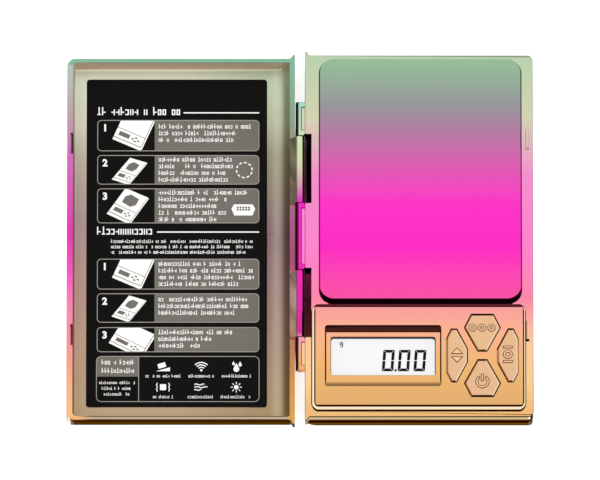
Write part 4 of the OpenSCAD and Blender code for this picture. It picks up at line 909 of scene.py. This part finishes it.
class SCALE_OT_keys(bpy.types.Operator):
    """Rounds and plates the four keys, and raises a plain mark on each"""
    bl_idname = "scale.keys"
    bl_label = "Keys"

    def execute(self, context):
        gold = plated("keys", KEYS, 0.08)
        # Painted shade on the keys' walls and edges, a painted highlight on edges that face right, and a warm
        # painted shade on those that face left
        shaded = plated("thin film on the keys' edges", STEEP_PAINTED_SHADE, 0.1)
        bright = plated("polished right edges of the keys", LEDGE_PAINTED_LIGHT, 0.1, span=PANEL_LENGTH)
        warm = plated("polished left edges of the keys", KEY_EDGE_PAINTED_SHADE, 0.1)
        # Painted shade on the marks' sides and round their feet, and a painted highlight on their crowns
        sides = plated("thin film round the marks", KEY_MARK_PAINTED_SHADE, 0.15)
        crown = plated("raised marks", KEY_MARK_PAINTED_HIGHLIGHT, 0.1)
        for name in ("count", "mode", "tare", "power"):
            dress_node(name + "_key", [], [(0.24, 3, lambda p, n: p.z > 14.2)], self.choose,
                       [gold, shaded, bright, warm], name)
            low, high = (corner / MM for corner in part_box(name + "_key"))
            x = (low.x + high.x) / 2
            y = (low.y + high.y) / 2
            draw = getattr(self, "mark_" + name)
            mark = Layer(high.z - MARK_SINK, 0.17)
            draw(mark, x, y, 0.0)
            mark.finish(name + "_mark", [crown, sides], name, "plated_keys", slope=0.12)
            # A thin dark ring round the foot of each mark, as painted shade
            foot = Layer(high.z - MARK_SINK, 0.035)
            draw(foot, x, y, MARK_SHADE_REACH)
            foot.finish(name + "_mark_painted_shade", [sides], name, "plated_keys")
        return {"FINISHED"}

    @staticmethod
    def choose(place, normal):
        """Walls and far and near edges take painted shade, edges that face right a painted highlight, and
        left ones a warm painted shade.
        """
        if normal.z > 0.93:
            return 0
        if normal.z < 0.25 or abs(normal.x) < 0.2:
            return 1
        return 2 if normal.x > 0 else 3

    def mark_count(self, mark, x, y, more):
        """Three small rings in a row, for counting pieces"""
        for step in (-1, 0, 1):
            centre = x - 0.1 + step * 3.0
            mark.band(arc(centre, y + 1.6, 1.15 + more), arc(centre, y + 1.6, 0.55 - more))

    def mark_mode(self, mark, x, y, more):
        """Two triangles that point away from each other"""
        for sign in (-1, 1):
            base = y + sign * (0.55 - more)
            side = 1.7 + more * 2
            tip = [(x - side, base), (x + side, base), (x, base + sign * (1.75 + more * 2.4))]
            mark.shape(tip if sign > 0 else tip[::-1])

    def mark_tare(self, mark, x, y, more):
        """A nought between two short lines"""
        mark.band(arc(x, y + 0.3, 1.4 + more), arc(x, y + 0.3, 0.75 - more))
        for step in (-2.4, 2.4):
            middle = y + 0.3 + step
            mark.shape(rounded(x - 1.4 - more, middle - 0.3 - more, x + 1.4 + more, middle + 0.3 + more,
                               0.15))

    def mark_power(self, mark, x, y, more):
        """An open ring with a stroke in its gap"""
        mark.line(arc(x, y - 1.2, 1.8, 125 - more * 30, 415 + more * 30), 0.62 + more * 2)
        mark.shape(rounded(x - 0.31 - more, y - 0.9 - more, x + 0.31 + more, y + 1.2 + more, 0.2))


class SCALE_OT_display(bpy.types.Operator):
    """Gives the display its glass, its black border, partly painted shade, and its digits"""
    bl_idname = "scale.display"
    bl_label = "Display"

    def execute(self, context):
        settings = context.scene.scale_display
        # The glass glows as painted light, which keeps it an even, lit grey in its recess where shade would
        # fall; switched segments and print block it
        cell = grained("liquid crystal glass, glowing with painted light", "#848486", 0.35, 0.4, depth=0.0,
                       shade=0.01, glow=("#F4F4F6", 0.86))
        give_node("lcd_glass", cell)
        give_node("display_window", clear_cover("moulded clear polycarbonate, polished"))
        segment_black = grained("liquid crystal, switched dark", "#060607", 0.5, 0.3, depth=0.0, shade=0.2,
                                specular=0.1)
        black_print = grained("black print and painted shade on the back of the cover", "#080808", 0.6, 0.2, depth=0.0,
                              shade=0.2, specular=0.1)
        under_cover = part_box("display_window")[0].z / MM
        # The border is print on the cover, wider on the right and far sides, where it stands for the
        # opening's shadow as painted shade
        border = Layer(under_cover - 0.04, 0.03)
        border.band(rounded(*WINDOW_OUTER, 1.0), rounded(*WINDOW_CLEAR, 0.9))
        border.finish("display_border", [black_print], "case", "black_plastic")

        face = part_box("lcd_glass")[1].z / MM
        digits = Layer(face, 0.02)
        width, height, stroke, pitch = (value / MM for value in (
            settings.digit_width, settings.digit_height, settings.segment, settings.digit_pitch))
        lean = math.tan(settings.slant)
        for index in range(3):
            left = DIGITS_LEFT + index * pitch
            for outline in nought_segments(width, height, stroke):
                digits.shape([(left + px + py * lean, DIGITS_BASE + py) for px, py in outline])
        dot = DIGITS_LEFT + width + 0.42
        digits.shape(rounded(dot - 0.05, DIGITS_BASE, dot + 0.65, DIGITS_BASE + 0.7, 0.12))
        digits.finish("display_digits", [segment_black], "case", "display_glass")

        unit = Layer(face, 0.02)
        x, y = UNIT_PLACE
        unit.band(arc(x, y, 0.55), arc(x, y, 0.25))
        unit.line([(x + 0.42, y + 0.5), (x + 0.42, y - 0.75), (x + 0.3, y - 1.0), (x, y - 1.08),
                   (x - 0.38, y - 0.98)], 0.28)
        unit.finish("display_unit", [segment_black], "case", "display_glass")
        return {"FINISHED"}


class SCALE_OT_label(bpy.types.Operator):
    """Prints the lid's label: panels, frames, plain numbers, drawings and signs"""
    bl_idname = "scale.label"
    bl_label = "Label"

    def execute(self, context):
        ink = context.scene.scale_label.ink / MM
        # Matt film hides its own reflections, so the label reads as an even near-black
        film = grained("matt laminated film, printed black", "#0B0A09", 0.45, 0.25, depth=0.002, shade=0.25,
                       specular=0.06)
        # Ink lies flat and even, and a halftone breaks up a little
        white_ink, grey_ink, line_ink = (
            grained("screen-printed ink, " + name, code, 0.6, grain, depth=0.002, shade=shade, specular=0.2)
            for name, code, grain, shade in INKS)
        give_node("instruction_label", film)
        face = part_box("instruction_label")[1].z / MM
        # Print that lies on other print has its own height, so that no two share a face
        grey, white, frames, detail, over, grains = (
            Layer(face + level * ink, ink) for level in (0, 0, 0.5, 1, 1, 2))
        for top, bottom, number, drawing, ends, first in STEP_PANELS:
            inner = frames.frame(FRAME_LEFT, bottom, FRAME_RIGHT, top, 1.3)
            grey.shape(clipped(inner, (CELL_RIGHT, bottom, FRAME_RIGHT, top)))
            white.figure(number, FRAME_LEFT + 2.5, top - 2.7, 2.2)
            cell = (FRAME_LEFT + 0.3, bottom + 0.25, CELL_RIGHT - 0.1, top - 0.25)
            self.draw_scale(white, detail, drawing, cell)
        left, bottom, right, top = NOTE_FRAME
        inner = frames.frame(*NOTE_FRAME, 1.6)
        grey.shape(clipped(inner, (left, NOTE_HEADER_BOTTOM, NOTE_DIVIDER, top)))
        frames.shape(rounded(NOTE_DIVIDER - 0.12, bottom + 0.3, NOTE_DIVIDER + 0.12, top - 0.3, 0.05))
        for x0, x1, y in HEADING_LINES:
            white.shape(rounded(x0, y - 0.2, x1, y + 0.2, 0.1))
        for index, sign in enumerate(("slope", "waves", "drop", "shake", "wind", "sun")):
            getattr(self, "sign_" + sign)(white, SIGN_COLUMNS[index % 3], SIGN_ROWS[index // 3])
        self.draw_dial(over, *DIAL_PLACE)
        self.draw_tray(over, grains, *TRAY_PLACE)
        for layer, name, colour in ((grey, "grey_print", grey_ink), (frames, "frames", line_ink),
                                    (white, "white_print", white_ink), (detail, "drawing_print", grey_ink),
                                    (over, "white_on_grey", white_ink), (grains, "grain_print", grey_ink)):
            layer.finish("label_" + name, [colour], "lid", "label_film")
        return {"FINISHED"}

    def draw_scale(self, white, detail, drawing, cell):
        """A plain slanted scale: its outline is white, and its plate, display and keys are grey."""
        (x, y), (ux, uy), (vx, vy), loaded = drawing

        def at(u, v):
            return (x + u * ux + v * vx, y + u * uy + v * vy)

        def put(layer, corners):
            outline = clipped([at(u, v) for u, v in corners], cell)
            if len(outline) > 2:
                layer.shape(outline)

        def box(u0, v0, u1, v1):
            return [(u0, v0), (u1, v0), (u1, v1), (u0, v1)]

        thick = -0.12
        put(white, [(0, thick), (1, thick), (1.06, thick + 0.06), (1.06, 1), (1, 1.03), (0, 1)])
        for sides in ((0, -0.02, 1, 0.005), (0.995, 0, 1.015, 1), (0, 0.33, 1, 0.35),
                      (0.12, 0.1, 0.5, 0.25)):
            put(detail, box(*sides))
        for u, v in ((0.72, 0.1), (0.62, 0.16), (0.82, 0.16), (0.72, 0.23)):
            put(detail, box(u - 0.04, v - 0.025, u + 0.04, v + 0.025))
        if loaded:
            put(detail, [(0.22, 0.5), (0.62, 0.46), (0.78, 0.6), (0.74, 0.84), (0.36, 0.88), (0.2, 0.74)])

    def draw_dial(self, layer, x, y):
        """A ring of short strokes"""
        for start in range(0, 360, 36):
            layer.line(arc(x, y, 2.5, start, start + 21, 3), 0.42)

    def draw_tray(self, white, detail, x, y):
        """A shallow tray seen from the front, with grains in it"""
        white.shape([(x - 2.9, y - 1.6), (x + 2.9, y - 1.6), (x + 3.8, y + 0.6), (x + 3.0, y + 2.1),
                     (x - 3.0, y + 2.1), (x - 3.8, y + 0.6)])
        for column in range(5):
            for row in range(2):
                detail.shape(arc(x - 1.8 + column * 0.9, y + 0.3 + row * 0.75, 0.36, steps=8))

    def sign_slope(self, layer, x, y):
        layer.shape([(x - 2.2, y - 1.5), (x + 2.2, y - 1.5), (x + 2.2, y - 0.2)])
        layer.shape([(x - 1.4, y - 0.7), (x + 1.0, y + 0.0), (x + 0.6, y + 1.5), (x - 1.8, y + 0.8)])

    def sign_waves(self, layer, x, y):
        layer.shape(arc(x, y - 1.2, 0.4, steps=10))
        for radius in (1.2, 2.0, 2.8):
            layer.line(arc(x, y - 1.4, radius, 45, 135, 8), 0.35)

    def sign_drop(self, layer, x, y):
        for dx, dy, size in ((-0.9, 0.9, 0.45), (1.2, 0.6, 0.55), (0, -0.8, 0.95)):
            outline = arc(x + dx, y + dy, size, -220, 40, 10) + [(x + dx, y + dy + size * 2.1)]
            layer.shape(outline)

    def sign_shake(self, layer, x, y):
        layer.shape(rounded(x - 1.0, y - 1.0, x + 1.0, y + 1.0, 0.3))
        for side in (-1, 1):
            points = [(x + side * (1.8 + 0.3 * (i % 2)), y - 1.4 + 0.7 * i) for i in range(5)]
            layer.line(points, 0.3)

    def sign_wind(self, layer, x, y):
        for row, length in ((0.9, 2.0), (0.0, 2.6), (-0.9, 1.4)):
            points = [(x - 2.2 + length * 1.6 * i / 8,
                       y + row + 0.18 * math.sin(i * 1.1)) for i in range(9)]
            layer.line(points, 0.32)

    def sign_sun(self, layer, x, y):
        layer.shape(arc(x, y, 0.75, steps=14))
        for i in range(8):
            turn = math.radians(45 * i)
            layer.line([(x + 1.1 * math.cos(turn), y + 1.1 * math.sin(turn)),
                        (x + 1.75 * math.cos(turn), y + 1.75 * math.sin(turn))], 0.28)


class SCALE_OT_label_lines(bpy.types.Operator):
    """Sets rows of letter-like blocks on the label, where a real one has its words"""
    bl_idname = "scale.label_lines"
    bl_label = "Label lines"

    def execute(self, context):
        settings = context.scene.scale_label
        white_ink = bpy.data.materials["screen-printed ink, white"]
        tree, given = start_tree("Letter rows", {"Letter pitch": 0.76, "Ink": settings.ink,
                                                 "Letters kept": 0.83}, seed=LETTER_SEED)
        sizes = given.outputs
        size = add(tree, "GeometryNodeInputNamedAttribute", {"Name": "letter_height"}, data_type="FLOAT")
        pitch = add(tree, "ShaderNodeMath", {0: size, 1: sizes["Letter pitch"]}, operation="MULTIPLY")
        rows = add(tree, "GeometryNodeMeshToCurve", {0: given})
        places = add(tree, "GeometryNodeResampleCurve", {"Curve": rows, "Length": pitch}, mode="LENGTH")
        # A random share of the letters is left out, which makes words; each row keeps its first two
        drawn = add(tree, "FunctionNodeRandomValue", {6: sizes["Letters kept"], "Seed": sizes["Seed"]},
                    data_type="BOOLEAN")
        along = add(tree, "GeometryNodeSplineParameter")
        first_two = add(tree, "ShaderNodeMath", {0: pitch, 1: 1.5}, operation="MULTIPLY")
        early = add(tree, "FunctionNodeCompare", {0: along.outputs["Length"], 1: first_two},
                    data_type="FLOAT", operation="LESS_THAN")
        kept = add(tree, "FunctionNodeBooleanMath", {0: drawn.outputs[3], 1: early}, operation="OR")
        shapes = add(tree, "GeometryNodeJoinGeometry")
        for bars in LETTER_SHAPES:
            shape = add(tree, "GeometryNodeJoinGeometry")
            for left, bottom, width, height in bars:
                bar = add(tree, "GeometryNodeMeshCube", {"Size": (width, height, 1)})
                placed = add(tree, "GeometryNodeTransform",
                             {"Geometry": bar, "Translation": (left + width / 2, bottom + height / 2, 0.5)})
                tree.links.new(placed.outputs[0], shape.inputs[0])
            one = add(tree, "GeometryNodeGeometryToInstance", {0: shape})
            tree.links.new(one.outputs[0], shapes.inputs[0])
        which = add(tree, "FunctionNodeRandomValue",
                    {4: 0, 5: len(LETTER_SHAPES) - 1, "Seed": sizes["Seed"]}, data_type="INT")
        scale = add(tree, "ShaderNodeCombineXYZ", {"X": size, "Y": size, "Z": sizes["Ink"]})
        letters = add(tree, "GeometryNodeInstanceOnPoints",
                      {"Points": places, "Selection": kept, "Instance": shapes,
                       "Instance Index": which.outputs[2], "Scale": scale, "Pick Instance": True})
        end_tree(tree, letters, white_ink)

        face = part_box("instruction_label")[1].z
        ink = settings.ink
        letter = settings.letter / MM
        lines = [(TEXT_LEFT, right, first - row * TEXT_PITCH, letter, ink)
                 for *panel, ends, first in STEP_PANELS for row, right in enumerate(ends)]
        lines += [line + (0.0,) for line in PLAIN_LINES] + [line + (ink,) for line in HEADER_LINES]
        points = []
        for x0, x1, y, height, lift in lines:
            points += [(x * MM, (y - height / 2) * MM, face + lift) for x in (x0, x1 - height / 2)]
        mesh = bpy.data.meshes.new("label_lines")
        mesh.from_pydata(points, [(2 * i, 2 * i + 1) for i in range(len(lines))], [])
        heights = mesh.attributes.new("letter_height", "FLOAT", "POINT")
        for i in range(len(points)):
            heights.data[i].value = lines[i // 2][3] * MM
        piece = run_nodes("label_lines", mesh, tree, {"Ink": ink, "Seed": LETTER_SEED})
        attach(piece, "lid")
        return {"FINISHED"}


class SCALE_OT_screws(bpy.types.Operator):
    """Sets the cross-head screws that show on the underside"""
    bl_idname = "scale.screws"
    bl_label = "Screws"

    def execute(self, context):
        # Pressed heads gleam, with dark crosses
        steel = grained("nickel-plated steel, cold-headed", "#B9BABC", 0.28, 0.3, metallic=1.0, depth=0.003,
                        shade=0.1)
        tree, given = start_tree("Cross-head screws", {"Head radius": 1.7 * MM, "Head height": 1.1 * MM,
                                                       "Shank radius": 0.9 * MM, "Shank length": 8 * MM,
                                                       "Slot length": 1.9 * MM, "Slot width": 0.42 * MM,
                                                       "Slot depth": 0.6 * MM})
        sizes = given.outputs
        parts = []
        for sides, radius, depth, base in ((32, "Head radius", "Head height", 0.0),
                                           (20, "Shank radius", "Shank length", sizes["Head height"])):
            rod = add(tree, "GeometryNodeMeshCylinder",
                      {"Vertices": sides, "Radius": sizes[radius], "Depth": sizes[depth]})
            middle = add(tree, "ShaderNodeMath", {0: sizes[depth], 1: 0.5, 2: base},
                         operation="MULTIPLY_ADD")
            up = add(tree, "ShaderNodeCombineXYZ", {"Z": middle})
            parts.append(add(tree, "GeometryNodeTransform", {"Geometry": rod, "Translation": up}))
        head, shank = parts
        double_depth = add(tree, "ShaderNodeMath", {0: sizes["Slot depth"], 1: 2.0}, operation="MULTIPLY")
        cut = add(tree, "GeometryNodeMeshBoolean", {"Mesh 1": head}, operation="DIFFERENCE")
        for first, second in (("Slot length", "Slot width"), ("Slot width", "Slot length")):
            size = add(tree, "ShaderNodeCombineXYZ",
                       {"X": sizes[first], "Y": sizes[second], "Z": double_depth})
            slot = add(tree, "GeometryNodeMeshCube", {"Size": size})
            tree.links.new(slot.outputs[0], cut.inputs["Mesh 2"])
        whole = add(tree, "GeometryNodeJoinGeometry", {0: cut})
        tree.links.new(shank.outputs[0], whole.inputs[0])
        screws = add(tree, "GeometryNodeInstanceOnPoints", {"Points": given, "Instance": whole})
        end_tree(tree, screws, steel)

        for node, (radius, height, shank_radius) in SCREW_SIZES.items():
            low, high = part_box(node)
            xs = sorted({low.x + radius * MM, high.x - radius * MM})
            if xs[1] - xs[0] < radius * MM:
                xs = [(low.x + high.x) / 2]
            points = [(x, y, low.z) for x in xs for y in (low.y + radius * MM, high.y - radius * MM)]
            mesh = bpy.data.meshes.new(node + "_heads")
            mesh.from_pydata(points, [], [])
            values = {"Head radius": radius * MM, "Head height": height * MM,
                      "Shank radius": shank_radius * MM,
                      "Shank length": high.z - low.z - height * MM, "Slot length": radius * 1.15 * MM,
                      "Slot width": radius * 0.26 * MM, "Slot depth": SLOT_DEPTH * MM}
            piece = run_nodes(node + "_cross_head", mesh, tree, values)
            piece.data.set_sharp_from_angle(angle=SCREW_SHARP_FROM)
            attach(piece, "case")
            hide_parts(node)
        return {"FINISHED"}


class SCALE_OT_load_cell(bpy.types.Operator):
    """Copies the load cell's beam and its gauges, sliced across the part of the beam that bends, and gives
    them their finishes
    """
    bl_idname = "scale.load_cell"
    bl_label = "Load cell"

    def execute(self, context):
        # Milled aluminium is bright and slightly blurred; the film over the gauges is a clear brown
        milled = grained("milled aluminium", "#C9CACC", 0.35, 0.25, metallic=1.0, depth=0.004)
        foil = grained("polyimide film over etched foil", "#B8701F", 0.35, 0.3, depth=0.003)
        low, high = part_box("strain_gauges")
        for node, material, slot in (("load_cell", milled, "beam_aluminium"),
                                     ("strain_gauges", foil, "gauge_film")):
            mesh = node_copy(node, "_bending", [material])
            solid = bmesh.new()
            solid.from_mesh(mesh)
            bmesh.ops.remove_doubles(solid, verts=solid.verts, dist=WELD)
            for step in range(1, BEAM_CUTS):
                slice_across(solid, Vector((0, low.y + (high.y - low.y) * step / BEAM_CUTS, 0)), (0, 1, 0))
            solid.to_mesh(mesh)
            solid.free()
            colour_faces(mesh, lambda p, n: 0)
            piece = new_object(mesh.name, mesh)
            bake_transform(piece)
            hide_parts(node)
        return {"FINISHED"}


class SCALE_OT_fittings(bpy.types.Operator):
    """Gives the hinge pin, feet, board and other inner parts their finishes"""
    bl_idname = "scale.fittings"
    bl_label = "Fittings"

    def execute(self, context):
        finishes = {slot: grained(*look) for slot, look in FINISHES.items()}
        finishes["gauge_film"] = bpy.data.materials["polyimide film over etched foil"]
        dressed = {"top_frame", "bottom_shell", "lid_shell", "platform", "battery_door", "case_screws",
                   "load_cell_screws", "load_cell", "strain_gauges", "lcd_glass", "display_window",
                   "instruction_label", "count_key", "mode_key", "tare_key", "power_key"}
        for name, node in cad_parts.items():
            if name in dressed:
                continue
            slot = node.data.materials[0].name
            if slot not in finishes:
                raise RuntimeError(f"{name} has slot {slot}, which has no finish")
            give_node(name, finishes[slot])
        return {"FINISHED"}


class SCALE_PT_panel(bpy.types.Panel):
    """Lists the steps that dress the scale"""
    bl_idname = "SCALE_PT_panel"
    bl_label = "Pocket scale"
    bl_space_type = "VIEW_3D"
    bl_region_type = "UI"
    bl_category = "Scale"

    def draw(self, context):
        for operator in STEPS:
            self.layout.operator(operator.bl_idname)


SETTINGS = (("scale_stage", ScaleStageSettings), ("scale_label", ScaleLabelSettings),
            ("scale_display", ScaleDisplaySettings))
STEPS = (SCALE_OT_stage, SCALE_OT_body_shells, SCALE_OT_lid_shell, SCALE_OT_platform, SCALE_OT_keys,
         SCALE_OT_display, SCALE_OT_label, SCALE_OT_label_lines, SCALE_OT_screws,
         SCALE_OT_load_cell, SCALE_OT_fittings)


def register():
    for name, group in SETTINGS:
        bpy.utils.register_class(group)
        setattr(bpy.types.Scene, name, PointerProperty(type=group))
    for operator in STEPS:
        bpy.utils.register_class(operator)
    bpy.utils.register_class(SCALE_PT_panel)


def unregister():
    bpy.utils.unregister_class(SCALE_PT_panel)
    for operator in reversed(STEPS):
        bpy.utils.unregister_class(operator)
    for name, group in reversed(SETTINGS):
        delattr(bpy.types.Scene, name)
        bpy.utils.unregister_class(group)


def main():
    register()
    for operator in STEPS:
        group, step = operator.bl_idname.split(".")
        getattr(getattr(bpy.ops, group), step)()


if __name__ == "__main__":
    main()
